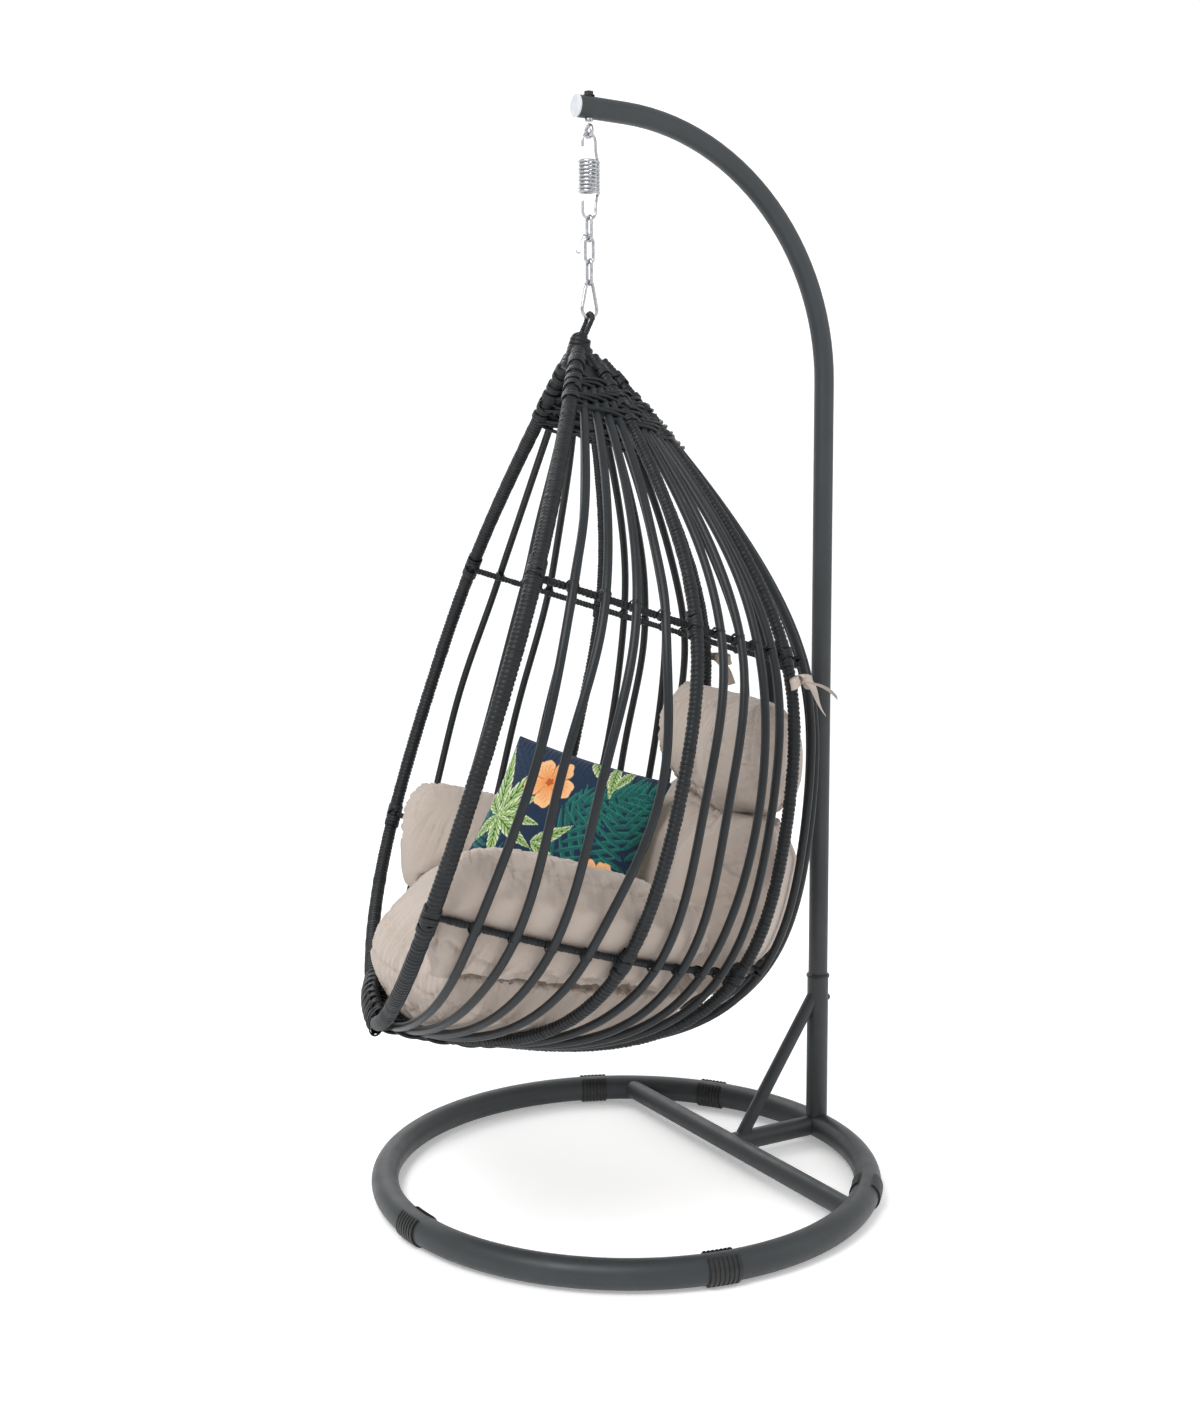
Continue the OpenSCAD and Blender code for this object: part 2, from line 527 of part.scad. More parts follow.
module head_cushion() color([0.66, 0.6, 0.54])
  pad(head_top_t, head_t, -42, 42, soft_in, 190, 8, 14, 4, 0.35, false);
pillow_at = [24, -154, 660];
pillow_turn = 148;
pillow_lean = 29;
pillow_roll = 14;
// A pillow, fullest in the middle, its corners drawn to points
module scatter_pillow() color([0.08, 0.16, 0.22]) {
  n = 12;
  edge_t = 3;
  puff = function (u, v) (pillow_t / 2 - edge_t) * pow((1 - u * u) * (1 - v * v), 0.45) + edge_t;
  pull = function (u, v) u * (1 - 0.07 * (1 - u * u) - 0.05 * (1 - v * v) * abs(u)) / 2;
  pts = [for (k = [1, -1]) for (i = [0:n]) for (j = [0:n]) let (u = 2 * i / n - 1, v = 2 * j / n - 1)
    [pull(u, v) * pillow_w, pull(v, u) * pillow_h, k * puff(u, v)]];
  in_basket() translate(pillow_at) rotate([0, 0, pillow_turn]) rotate([90 - pillow_lean, 0, 0])
    rotate([0, 0, -pillow_roll]) polyhedron(pts, slab_faces(n, n), convexity = 6);
}
// Fabric ties: a knot, two loops and two tails, tied on a back rail
tie_t = 0.285;
module tie_bow(s) {
  knot = egg_at(tie_t, s * back_phi, -rail_d / 2 - 7);
  in_basket() translate(knot) rotate([0, -25, s * (180 - back_phi)]) {
    sphere(d = 14);
    for (k = [-1, 1]) translate([0, k * 22, 2]) linear_extrude(height = 14, center = true) difference() {
      scale([0.35, 1]) circle(d = 36);
      scale([0.2, 1]) circle(d = 31);
    }
    for (k = [-1, 1]) hull() {
      translate([0, k * 5, -6]) cube([3, 9, 6], center = true);
      translate([2, k * 22, -60]) cube([3, 14, 6], center = true);
    }
  }
}
module near_tie() color([0.63, 0.57, 0.51]) tie_bow(1);
module far_tie() color([0.63, 0.57, 0.51]) tie_bow(-1);

base_ring();
cross_bar();
short_bar();
brace();
base_clips();
lower_post();
post_collar();
post_bolt();
post_insert();
arm();
end_cap();
eye_bolt();
eye_nut();
spring();
link_1();
link_2();
link_3();
side_hook();
snap_body();
snap_gate();
snap_pin();
top_loop();
apex_wrap();
near_rim();
near_side_rail();
near_back_rail();
far_back_rail();
far_side_rail();
far_rim();
canes_near_front();
canes_near_back();
canes_back();
canes_far_back();
canes_far_front();
upper_hoop();
lower_hoop();
upper_ties();
lower_ties();
top_collar();
front_lip();
lip_weave();
seat_cushion();
near_arm_cushion();
far_arm_cushion();
back_cushion();
head_cushion();
scatter_pillow();
near_tie();
far_tie();
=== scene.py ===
"""A hanging egg chair: wound rails, canes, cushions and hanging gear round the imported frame.

The basket is a half egg. A place on it is (t, phi): t runs down from its top to its foot, and
phi runs round it from its back, positive towards the near side.
"""
import json
import math

import bpy
import numpy as np
from mathutils import Matrix, Vector
from mathutils.kdtree import KDTree


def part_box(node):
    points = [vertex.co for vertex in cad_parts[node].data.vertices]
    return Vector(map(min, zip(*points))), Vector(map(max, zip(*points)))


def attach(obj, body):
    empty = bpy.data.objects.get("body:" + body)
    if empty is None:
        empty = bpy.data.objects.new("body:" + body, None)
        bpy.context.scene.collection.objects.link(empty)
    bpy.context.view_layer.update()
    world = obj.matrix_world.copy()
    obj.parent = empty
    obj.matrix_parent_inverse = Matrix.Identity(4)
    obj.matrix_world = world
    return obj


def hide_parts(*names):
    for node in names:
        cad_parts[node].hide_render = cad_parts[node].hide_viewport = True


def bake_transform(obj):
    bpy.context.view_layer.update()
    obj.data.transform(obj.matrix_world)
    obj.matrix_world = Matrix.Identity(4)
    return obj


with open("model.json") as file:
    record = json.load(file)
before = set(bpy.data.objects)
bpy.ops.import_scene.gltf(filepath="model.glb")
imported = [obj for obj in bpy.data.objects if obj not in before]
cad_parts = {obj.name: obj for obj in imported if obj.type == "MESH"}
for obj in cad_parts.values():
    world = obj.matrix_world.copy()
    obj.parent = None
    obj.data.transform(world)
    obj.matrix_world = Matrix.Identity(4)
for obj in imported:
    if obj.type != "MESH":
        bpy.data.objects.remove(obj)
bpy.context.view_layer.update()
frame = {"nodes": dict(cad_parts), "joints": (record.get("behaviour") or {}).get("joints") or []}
scene = bpy.context.scene

MM = 0.001
low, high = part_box("base_ring")
RING = (Vector(low) + Vector(high)) / 2
HANG = Vector(next(j["pos_m"] for j in frame["joints"] if j["name"] == "basket_twist"))

# ---- studio ---------------------------------------------------------------------------------
CAMERA_FROM_RING = Vector((-1.501, -2.507, 1.187))
HEADING, PITCH, ROLL = math.radians(30.0), math.radians(-5.44), math.radians(-0.15)
LENS = 41.03


def make_camera():
    data = bpy.data.cameras.new("camera")
    data.lens = LENS
    data.sensor_width = 36
    data.clip_end = 50
    cam = bpy.data.objects.new("camera", data)
    scene.collection.objects.link(cam)
    cam.location = Vector((RING.x, RING.y, 0)) + CAMERA_FROM_RING
    level = math.cos(PITCH)
    forward = Vector((math.sin(HEADING) * level, math.cos(HEADING) * level, math.sin(PITCH)))
    cam.rotation_euler = forward.to_track_quat("-Z", "Y").to_euler()
    cam.rotation_euler.rotate_axis("Z", ROLL)
    scene.camera = cam


def make_light(name, place, target, size, power):
    data = bpy.data.lights.new(name, "AREA")
    data.shape = "RECTANGLE"
    data.size, data.size_y = size
    data.energy = power
    lamp = bpy.data.objects.new(name, data)
    scene.collection.objects.link(lamp)
    lamp.location = place
    lamp.rotation_euler = (Vector(target) - Vector(place)).to_track_quat("-Z", "Y").to_euler()


make_camera()
scene.view_settings.view_transform = "Standard"
scene.view_settings.look = "None"


# ---- materials ------------------------------------------------------------------------------
class Shader:
    """A small helper that adds nodes to one material and wires them."""

    def __init__(self, name, **sockets):
        self.mat = bpy.data.materials.new(name)
        self.mat.use_nodes = True
        self.tree = self.mat.node_tree
        self.bsdf = self.tree.nodes["Principled BSDF"]
        for key, value in sockets.items():
            self.bsdf.inputs[key.replace("_", " ")].default_value = value

    def node(self, kind, **inputs):
        n = self.tree.nodes.new("ShaderNode" + kind)
        for key, value in inputs.items():
            key = key.replace("_", " ")
            if hasattr(n, key.replace(" ", "_")) and key not in n.inputs:
                setattr(n, key.replace(" ", "_"), value)
            elif hasattr(value, "is_output"):
                self.tree.links.new(value, n.inputs[key])
            else:
                n.inputs[key].default_value = value
        return n

    def place(self, stretch=(1, 1, 1), source="Object"):
        """Coordinates in metres, stretched along each axis."""
        coord = self.node("TexCoord")
        scale = self.node("Mapping", Vector=coord.outputs[source])
        scale.inputs["Scale"].default_value = stretch
        return scale.outputs["Vector"]

    def noise(self, at, scale, detail=3.0, roughness=0.5):
        noise = self.node("TexNoise", Vector=at, Scale=scale, Detail=detail, Roughness=roughness)
        return noise.outputs["Fac"]

    def ramp(self, fac, *stops):
        ramp = self.node("ValToRGB", Fac=fac)
        while len(ramp.color_ramp.elements) < len(stops):
            ramp.color_ramp.elements.new(0.5)
        for element, (where, colour) in zip(ramp.color_ramp.elements, stops):
            element.position = where
            element.color = colour if hasattr(colour, "__len__") else (colour,) * 3 + (1,)
        return ramp.outputs["Color"]

    def math(self, kind, a, b):
        n = self.tree.nodes.new("ShaderNodeMath")
        n.operation = kind
        for socket, value in zip(n.inputs, (a, b)):
            if hasattr(value, "is_output"):
                self.tree.links.new(value, socket)
            else:
                socket.default_value = value
        return n.outputs["Value"]

    def colour(self, socket):
        self.tree.links.new(socket, self.bsdf.inputs["Base Color"])

    def roughness(self, socket):
        self.tree.links.new(socket, self.bsdf.inputs["Roughness"])

    def bump(self, height, distance, strength=1.0):
        bump = self.node("Bump", Height=height, Distance=distance, Strength=strength)
        self.tree.links.new(bump.outputs["Normal"], self.bsdf.inputs["Normal"])


def rgb(r, g, b):
    return (r, g, b, 1)


def shade(base, factor):
    return rgb(*(min(1, c * factor) for c in base[:3]))


def speckled(name, colour, rough, bump, **sockets):
    """A material with one noise each for its colour, its roughness and its bump.

    Each begins with the noise's scale and detail. Two stops of the ramp follow, or the bump's
    distance and strength.
    """
    s = Shader(name, **sockets)
    at = s.place()
    s.colour(s.ramp(s.noise(at, *colour[:2]), *colour[2:]))
    s.roughness(s.ramp(s.noise(at, *rough[:2]), *rough[2:]))
    s.bump(s.noise(at, *bump[:2]), *bump[2:])
    return s.mat


def tones(base, dark, light):
    return (0.3, shade(base, dark)), (0.7, shade(base, light))


def moulded_plastic(name, base, rough):
    return speckled(name, (60, 3, *tones(base, 0.85, 1.15)),
                    (150, 2, (0.3, rough - 0.05), (0.7, rough + 0.07)), (1500, 2, 0.00012, 0.4),
                    Specular_IOR_Level=0.4)


def strip_plastic():
    """Flat rattan strip: fine grooves along it, and a tone of its own for each stretch."""
    s = Shader("rattan_strip", Specular_IOR_Level=0.28)
    along = s.place((6, 30, 1), "UV")
    tone = s.noise(s.place(), 30, 4)
    base = rgb(0.0100, 0.0122, 0.0142)
    grain = s.noise(along, 12, 4, 0.65)
    mixed = s.math("ADD", s.math("MULTIPLY", grain, 0.5), s.math("MULTIPLY", tone, 0.5))
    s.colour(s.ramp(mixed, (0.32, shade(base, 0.7)), (0.68, shade(base, 1.35))))
    s.roughness(s.ramp(grain, (0.3, 0.36), (0.7, 0.52)))
    s.bump(grain, 0.0003, 0.5)
    return s.mat


def cane_plastic():
    """Round extruded cane: long shallow flutes and a soft sheen."""
    s = Shader("cane", Specular_IOR_Level=0.32)
    along = s.place((1.5, 26, 1), "UV")
    base = rgb(0.0110, 0.0138, 0.0162)
    flutes = s.noise(along, 5, 3, 0.6)
    tone = s.noise(s.place(), 14, 3)
    s.colour(s.ramp(tone, (0.3, shade(base, 0.85)), (0.7, shade(base, 1.2))))
    s.roughness(s.ramp(flutes, (0.3, 0.33), (0.7, 0.48)))
    s.bump(flutes, 0.0004, 0.5)
    return s.mat


def weave_height(s, at, pitch):
    """Plain weave: threads along two slanting directions that pass over each other."""
    parts = []
    for axis in ("X", "Y", "Z"):
        wave = s.node("TexWave", Vector=at, Scale=1 / pitch / math.tau * 2, Distortion=1.5, Detail=1.0,
                      Detail_Scale=2.0)
        wave.wave_type = "BANDS"
        wave.bands_direction = axis
        parts.append(wave.outputs["Fac"])
    return s.math("MULTIPLY", s.math("ADD", parts[0], parts[1]), s.math("ADD", parts[2], 0.4))


def cushion_cloth():
    s = Shader("cushion_cloth", Specular_IOR_Level=0.2, Sheen_Weight=0.25, Sheen_Roughness=0.5)
    at = s.place()
    base = rgb(0.46, 0.39, 0.34)
    patch = s.noise(at, 7, 4)
    fleck = s.noise(at, 700, 2)
    mixed = s.math("ADD", s.math("MULTIPLY", patch, 0.6), s.math("MULTIPLY", fleck, 0.4))
    s.colour(s.ramp(mixed, (0.35, shade(base, 0.88)), (0.65, shade(base, 1.08))))
    s.roughness(s.ramp(fleck, (0.3, 0.78), (0.7, 0.92)))
    weave = weave_height(s, at, 0.0009)
    s.bump(s.math("ADD", weave, fleck), 0.0002, 0.45)
    return s.mat


def printed_cloth():
    s = Shader("printed_cloth", Specular_IOR_Level=0.2, Sheen_Weight=0.15)
    at = s.place()
    paint = s.node("Attribute")
    paint.attribute_name = "print"
    fleck = s.noise(at, 600, 2)
    mix = s.node("MixRGB", Fac=0.35)
    mix.blend_type = "MULTIPLY"
    s.tree.links.new(paint.outputs["Color"], mix.inputs["Color1"])
    s.tree.links.new(s.ramp(fleck, (0.3, 0.55), (0.7, 1.0)), mix.inputs["Color2"])
    s.colour(mix.outputs["Color"])
    s.roughness(s.ramp(fleck, (0.3, 0.75), (0.7, 0.9)))
    s.bump(s.math("ADD", weave_height(s, at, 0.0011), fleck), 0.00025, 0.5)
    return s.mat


COAT = speckled("powder_coat", (9, 4, *tones(rgb(0.036, 0.041, 0.044), 0.88, 1.1)),
                (35, 3, (0.3, 0.40), (0.7, 0.5)), (900, 2, 0.0002, 0.35), Specular_IOR_Level=0.35)
BLACK = moulded_plastic("black_plastic", rgb(0.018, 0.019, 0.02), 0.42)
GREY_CAP = moulded_plastic("grey_plastic", rgb(0.50, 0.52, 0.55), 0.4)
ZINC = speckled("zinc_plate", (220, 4, (0.3, rgb(0.34, 0.35, 0.37)), (0.75, rgb(0.60, 0.61, 0.63))),
                (400, 3, (0.3, 0.2), (0.7, 0.38)), (1200, 3, 0.00008, 0.4), Metallic=1.0)
STRIP = strip_plastic()
CANE = cane_plastic()
CLOTH = cushion_cloth()
HEM = speckled("pillow_hem", (400, 2, *tones(rgb(0.010, 0.024, 0.050), 0.8, 1.15)),
               (900, 2, (0.3, 0.6), (0.7, 0.8)), (2500, 2, 0.0002, 0.5), Specular_IOR_Level=0.3)
PRINT = printed_cloth()
PAPER = speckled("floor_paper", (2, 3, (0.3, 0.95), (0.7, 0.96)), (30, 3, (0.3, 0.7), (0.7, 0.85)),
                 (120, 3, 0.0003, 0.2), Specular_IOR_Level=0.1, Emission_Color=(1, 1, 1, 1),
                 Emission_Strength=0.26)


# ---- meshes ---------------------------------------------------------------------------------
def make(name, verts, faces, uv, mat, node=None, body="basket", slot=None):
    """A smooth mesh that rides on a body and stands for a CAD node, where they are named."""
    mesh = bpy.data.meshes.new(name)
    mesh.from_pydata(np.asarray(verts).tolist(), [], faces)
    if uv is not None:
        layer = mesh.uv_layers.new(name="Along")
        layer.data.foreach_set("uv", np.asarray(uv, dtype=np.float32).ravel())
    mesh.polygons.foreach_set("use_smooth", [True] * len(mesh.polygons))
    mesh.materials.append(mat)
    mesh.validate()
    obj = bpy.data.objects.new(name, mesh)
    scene.collection.objects.link(obj)
    if body:
        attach(obj, body)
    if node:
        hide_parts(node)
    return obj


def unit(v):
    return v / np.linalg.norm(v, axis=-1, keepdims=True)


class Path:
    """A smooth line through points, asked for places by its length from the start."""

    def __init__(self, points, up=(0, 0, 1), closed=False):
        p = np.asarray(points, dtype=float)
        if closed:
            p = np.vstack([p, p[:1]])
        self.p = p
        self.closed = closed
        steps = np.linalg.norm(np.diff(p, axis=0), axis=1)
        self.s = np.concatenate([[0], np.cumsum(steps)])
        self.length = self.s[-1]
        if closed:
            tangent = unit(np.roll(p[:-1], -1, axis=0) - np.roll(p[:-1], 1, axis=0))
            self.tangent = np.vstack([tangent, tangent[:1]])
        else:
            self.tangent = unit(np.gradient(p, axis=0))
        side = np.empty_like(p)
        n = np.asarray(up, dtype=float)
        for i, t in enumerate(self.tangent):
            n = n - t * (n @ t)
            n = n / np.linalg.norm(n)
            side[i] = n
        self.side = side
        if closed:
            self._untwist()

    def _untwist(self):
        """Shares out the turn that is left when the line comes back to its start."""
        a, b, t = self.side[0], self.side[-1], self.tangent[0]
        left = math.atan2(np.cross(b, a) @ t, a @ b)
        for i, s in enumerate(self.s):
            angle = left * s / self.length
            n, t = self.side[i], self.tangent[i]
            self.side[i] = n * math.cos(angle) + np.cross(t, n) * math.sin(angle)

    def at(self, s):
        """Places, tangents and the two directions square to them, at lengths s."""
        s = np.clip(s, 0, self.length)
        flat = np.ravel(s)

        def look(rows):
            columns = [np.interp(flat, self.s, rows[:, k]) for k in range(3)]
            return np.stack(columns, -1).reshape(s.shape + (3,))

        tangent = unit(look(self.tangent))
        side = look(self.side)
        side = unit(side - tangent * (side * tangent).sum(-1, keepdims=True))
        return look(self.p), tangent, side, np.cross(tangent, side)


def grid_faces(rows, columns, wrap):
    """Quads over a grid of points, row by row; wrap joins the last column to the first."""
    last = columns if wrap else columns - 1
    i, j = np.meshgrid(np.arange(rows - 1), np.arange(last), indexing="ij")
    k = (j + 1) % columns
    below = (i + 1) * columns
    quads = np.stack([i * columns + j, i * columns + k, below + k, below + j], -1)
    return quads.reshape(-1, 4), i.ravel(), j.ravel()


def grid_uv(i, j, along, around):
    """Corner pairs for grid_faces: lengths along the rows and shares round the columns."""
    return np.stack([
        np.stack([along[i], j / around], -1), np.stack([along[i], (j + 1) / around], -1),
        np.stack([along[i + 1], (j + 1) / around], -1), np.stack([along[i + 1], j / around], -1)], 1)


def tube(path, radius, rings, sides=12, flat=1.0):
    """Points, faces and corner pairs of a round or flattened rod along a path, its ends rounded."""
    s = np.linspace(0, path.length, rings)
    r = radius(s / path.length) if callable(radius) else np.full(rings, radius)
    place, tangent, side, other = path.at(s)
    a = np.arange(sides) / sides * math.tau
    ring = side[:, None] * np.cos(a)[None, :, None] + other[:, None] * np.sin(a)[None, :, None] * flat
    verts = (place[:, None] + ring * r[:, None, None]).reshape(-1, 3)
    faces, i, j = grid_faces(rings - (1 if path.closed else 0), sides, True)
    uv = grid_uv(i, j, s, sides)
    faces = faces.tolist()
    uv = uv.reshape(-1, 2).tolist()
    if path.closed:
        verts = verts[:-sides]
        last = (rings - 2) * sides
        for j in range(sides):
            k = (j + 1) % sides
            faces.append([last + j, last + k, k, j])
            uv += [[s[-2], j / sides], [s[-2], (j + 1) / sides],
                   [s[-1], (j + 1) / sides], [s[-1], j / sides]]
    else:
        for end, row, out in ((0, 0, -1), (rings - 1, (rings - 1) * sides, 1)):
            tip = len(verts)
            verts = np.vstack([verts, place[end] + tangent[end] * out * r[end] * min(flat, 1) * 0.5])
            for j in range(sides):
                k = (j + 1) % sides
                faces.append([row + k, row + j, tip] if out < 0 else [row + j, row + k, tip])
                uv += [[s[end], j / sides], [s[end], (j + 1) / sides], [s[end], (j + 0.5) / sides]]
    return verts, faces, uv


def join(parts):
    """Several (points, faces, corner pairs) as one."""
    verts, faces, uv, base = [], [], [], 0
    for v, f, u in parts:
        verts.append(np.asarray(v))
        faces += [[base + k for k in face] for face in f]
        uv += list(u)
        base += len(v)
    return np.vstack(verts), faces, uv


ACROSS = np.array([0.0, 0.16, 0.5, 0.86])       # places across a strip, from its start
RISE = np.array([-0.9, 0.5, 1.0, 0.35])         # how high the strip stands at each of them


def wound(path, radius, strip, sides=14, swell=0.0010, seed=0):
    """A rod wound with flat strip: one helix whose turns lie side by side, none quite alike."""
    local = np.random.default_rng(seed)
    length = path.length
    turns = max(2, int(length / strip))
    m = np.arange(turns * sides + 1)
    rise = RISE * swell
    knots = np.arange(turns + 2)
    drift = np.interp(m / sides, knots, local.normal(0, 0.09, turns + 2))
    lift = np.interp(m / sides, knots, local.normal(0, 0.28 * swell, turns + 2))
    share = np.interp(m[:, None] / sides + ACROSS, knots, np.linspace(0, 1, turns + 2))
    s = (share + (drift[:, None] * (ACROSS > 0) * strip) / length) * length
    place, tangent, side, other = path.at(s)
    angle = m / sides * math.tau
    r = (radius(np.clip(s / path.length, 0, 1)) if callable(radius) else radius) + rise + lift[:, None]
    out = side * np.cos(angle)[:, None, None] + other * np.sin(angle)[:, None, None]
    verts = (place + out * np.asarray(r)[..., None]).reshape(-1, 3)
    w = len(ACROSS)
    i, j = np.meshgrid(np.arange(len(m) - 1), np.arange(w - 1), indexing="ij")
    i, j = i.ravel(), j.ravel()
    inner = np.stack([i * w + j, (i + 1) * w + j, (i + 1) * w + j + 1, i * w + j + 1], -1)
    k = np.arange(len(m) - 1 - sides)
    lap = np.stack([k * w + w - 1, (k + 1) * w + w - 1, (k + 1 + sides) * w, (k + sides) * w], -1)
    u = m * math.tau * (radius(np.array([0.5]))[0] if callable(radius) else radius) / sides

    def corners(n, a, b):
        pairs = ((u[n], a), (u[n + 1], a), (u[n + 1], b), (u[n], b))
        return np.stack([np.stack([x, np.broadcast_to(y, x.shape)], -1) for x, y in pairs], 1)

    uv = np.vstack([corners(i, ACROSS[j], ACROSS[j + 1]), corners(k, ACROSS[-1], 1.0)])
    uv = uv * np.array([1.0, 0.2])
    return verts, np.vstack([inner, lap]).tolist(), uv.reshape(-1, 2).tolist()


STRAP_RING = ((-0.5, -0.3), (-0.36, 0.55), (0, 0.8), (0.36, 0.55), (0.5, -0.3), (0, -0.6))


def strap(centre, axis, radii, width, turns, pitch, thick, seed, tilt=0.0, across=(0, 0, 1)):
    """Flat strip wound round a place: a short open coil about axis, slanted by tilt."""
    local = np.random.default_rng(seed)
    axis = unit(np.asarray(axis, float))
    a = np.asarray(across, float)
    a = unit(a - axis * (a @ axis))
    b = np.cross(axis, a)
    ra, rb = radii
    n = int(26 * turns) + 1
    angle = np.linspace(0, math.tau * turns, n) + local.uniform(0, math.tau)
    shift = (np.linspace(-0.5, 0.5, n) * pitch * turns) + math.tan(tilt) * ra * np.cos(angle)
    points = np.asarray(centre, float) + np.outer(np.cos(angle) * ra, a) \
        + np.outer(np.sin(angle) * rb, b) + np.outer(shift, axis)
    tangent = unit(np.gradient(points, axis=0))
    outward = unit(np.outer(np.cos(angle), a) + np.outer(np.sin(angle), b))
    wide = np.cross(tangent, outward)
    verts = np.concatenate([[p + w * u * width + o * v * thick for u, v in STRAP_RING]
                            for p, w, o in zip(points, wide, outward)])
    sides = len(STRAP_RING)
    faces, i, j = grid_faces(n, sides, True)
    s = np.linspace(0, math.tau * ra * turns, n)
    uv = grid_uv(i, j, s, sides).reshape(-1, 2).tolist()
    faces = faces[:, ::-1].tolist()
    faces.append(list(range(sides)))
    faces.append(list(range((n - 1) * sides, n * sides))[::-1])
    uv += [[0, k / sides] for k in range(sides)] * 2
    return verts, faces, uv


# ---- the egg --------------------------------------------------------------------------------
FACING = math.radians(160.4)
TOP = np.array([16, 0, 1561]) * MM
FOOT = np.array([398, 0, 352]) * MM
TRAVEL = (0, 0.5, 0.4, 0.9, 1)
DEPTH = np.array([0, 1110, 110, 1340, 0]) * MM
HALF_WIDTH = np.array([0, 880, 240, 885, 0]) * MM
AXIS = FOOT - TOP
DOWN = AXIS / np.linalg.norm(AXIS)
BACK = np.array([DOWN[2], 0, -DOWN[0]])
RIM, SIDE, REAR = 92, 63, 36            # angles of the six rails
HOOPS = (0.25, 0.7165)
RIM_R, RAIL_R, CANE_R, HOOP_R = 13.0 * MM, 10.5 * MM, 7.4 * MM, 5.6 * MM
COLLAR_T, CANE_T, LIP_T = 0.047, 0.05, 0.957
HOOP_IN = CANE_R + 6 * MM
STRIP_W = 7.6 * MM
STEP_T, STEP_PHI = 0.004, 0.5           # how far a slope on the egg is measured to either side
APEX_SHARE = 0.215                      # a rail's radius over the egg's, where the rails meet
TIE_T = 0.285                           # where the bows sit on the back rails


def bezier(t, c):
    return (c[0] * (1 - t) ** 4 + 4 * c[1] * t * (1 - t) ** 3 + 6 * c[2] * t ** 2 * (1 - t) ** 2
            + 4 * c[3] * t ** 3 * (1 - t) + c[4] * t ** 4)


def local_egg(t, phi):
    t, phi = np.broadcast_arrays(np.asarray(t, float), np.radians(np.asarray(phi, float)))
    p = TOP + bezier(t, TRAVEL)[..., None] * AXIS + (bezier(t, DEPTH) * np.cos(phi))[..., None] * BACK
    p[..., 1] += bezier(t, HALF_WIDTH) * np.sin(phi)
    return p


def inward(t, phi):
    t, phi = np.broadcast_arrays(np.asarray(t, float), np.asarray(phi, float))
    down = local_egg(t + STEP_T, phi) - local_egg(t - STEP_T, phi)
    around = local_egg(t, phi + STEP_PHI) - local_egg(t, phi - STEP_PHI)
    return unit(np.cross(down, around))


def to_world(p):
    """From the basket's own frame, whose X is the way it faces, to the frame."""
    p = np.asarray(p, float)
    c, s = math.cos(FACING), math.sin(FACING)
    x, y, z = p[..., 0], p[..., 1], p[..., 2]
    return np.stack([HANG.x + x * c - y * s, HANG.y + x * s + y * c, z], -1)


def turn_to_world(v):
    return to_world(v) - to_world(np.zeros(3))


def egg(t, phi, depth=0.0):
    depth = np.asarray(depth, float)
    return to_world(local_egg(t, phi) + inward(t, phi) * depth[..., None])


def along_rail(t, phi):
    """The way down a rail or a cane."""
    return unit(egg(t + STEP_T, phi) - egg(t - STEP_T, phi))


def rail_radius(phi):
    return RIM_R if abs(phi) == RIM else RAIL_R


def crowd(t, radius, share):
    """A rail's radius, thinner where the egg is too narrow for all of them."""
    return np.minimum(radius, share * (bezier(t, DEPTH) + bezier(t, HALF_WIDTH)) / 2)


def bay(a, b, n):
    """Angles of n canes between two rails, drawn a little together."""
    return [a + (b - a) * (0.5 + (i / (n + 1) - 0.5) * 0.95) for i in range(1, n + 1)]


BAYS = {"canes_near_front": bay(RIM, SIDE, 4), "canes_near_back": bay(SIDE, REAR, 4),
        "canes_back": bay(REAR, -REAR, 6), "canes_far_back": bay(-REAR, -SIDE, 4),
        "canes_far_front": bay(-SIDE, -RIM, 4)}
RAILS = {"near_rim": RIM, "near_side_rail": SIDE, "near_back_rail": REAR,
         "far_back_rail": -REAR, "far_side_rail": -SIDE, "far_rim": -RIM}


# ---- basket ---------------------------------------------------------------------------------
def rail_path(phi, start, stop, wobble=None):
    t = np.linspace(start, stop, 260)
    return Path(egg(t, phi) if wobble is None else egg(t, phi + wobble(t)), up=turn_to_world([0, 1, 0]))


def make_rail(name, phi, seed):
    radius = rail_radius(phi) - 0.6 * MM
    start, stop = 0.012, LIP_T + 0.006
    rod = lambda u: crowd(start + (stop - start) * u, radius, APEX_SHARE)
    skin = wound(rail_path(phi, start, stop), rod, STRIP_W, sides=16, swell=0.0009, seed=seed)
    make(name + "_wound", *skin, STRIP, name)


def cane_wobble(seed):
    """Canes bow a little to either side between the hoops that hold them."""
    local = np.random.default_rng(seed)
    knots = (CANE_T, HOOPS[0], HOOPS[1], LIP_T)
    sway = local.normal(0, (0.5, 0.9, 0.35))

    def wobble(t):
        out = np.zeros_like(t)
        for lo, hi, size in zip(knots, knots[1:], sway):
            inside = np.clip((t - lo) / (hi - lo), 0, 1)
            out += size * np.sin(inside * math.pi) ** 2
        return out

    return wobble


def make_canes(name, angles, seed):
    start, stop = CANE_T - 0.012, LIP_T + 0.004
    rod = lambda u: crowd(start + (stop - start) * u, CANE_R - 0.2 * MM, 0.05)
    parts = [tube(rail_path(phi, start, stop, cane_wobble(seed * 10 + k)), rod, 96, sides=16)
             for k, phi in enumerate(angles)]
    make(name + "_smooth", *join(parts), CANE, name)


def make_hoop(name, t, seed):
    path = Path(egg(t, np.linspace(-RIM, RIM, 240), HOOP_IN), up=turn_to_world(DOWN))
    skin = wound(path, HOOP_R, 6.5 * MM, sides=12, swell=0.0007, seed=seed)
    make(name + "_wound", *skin, STRIP, name)


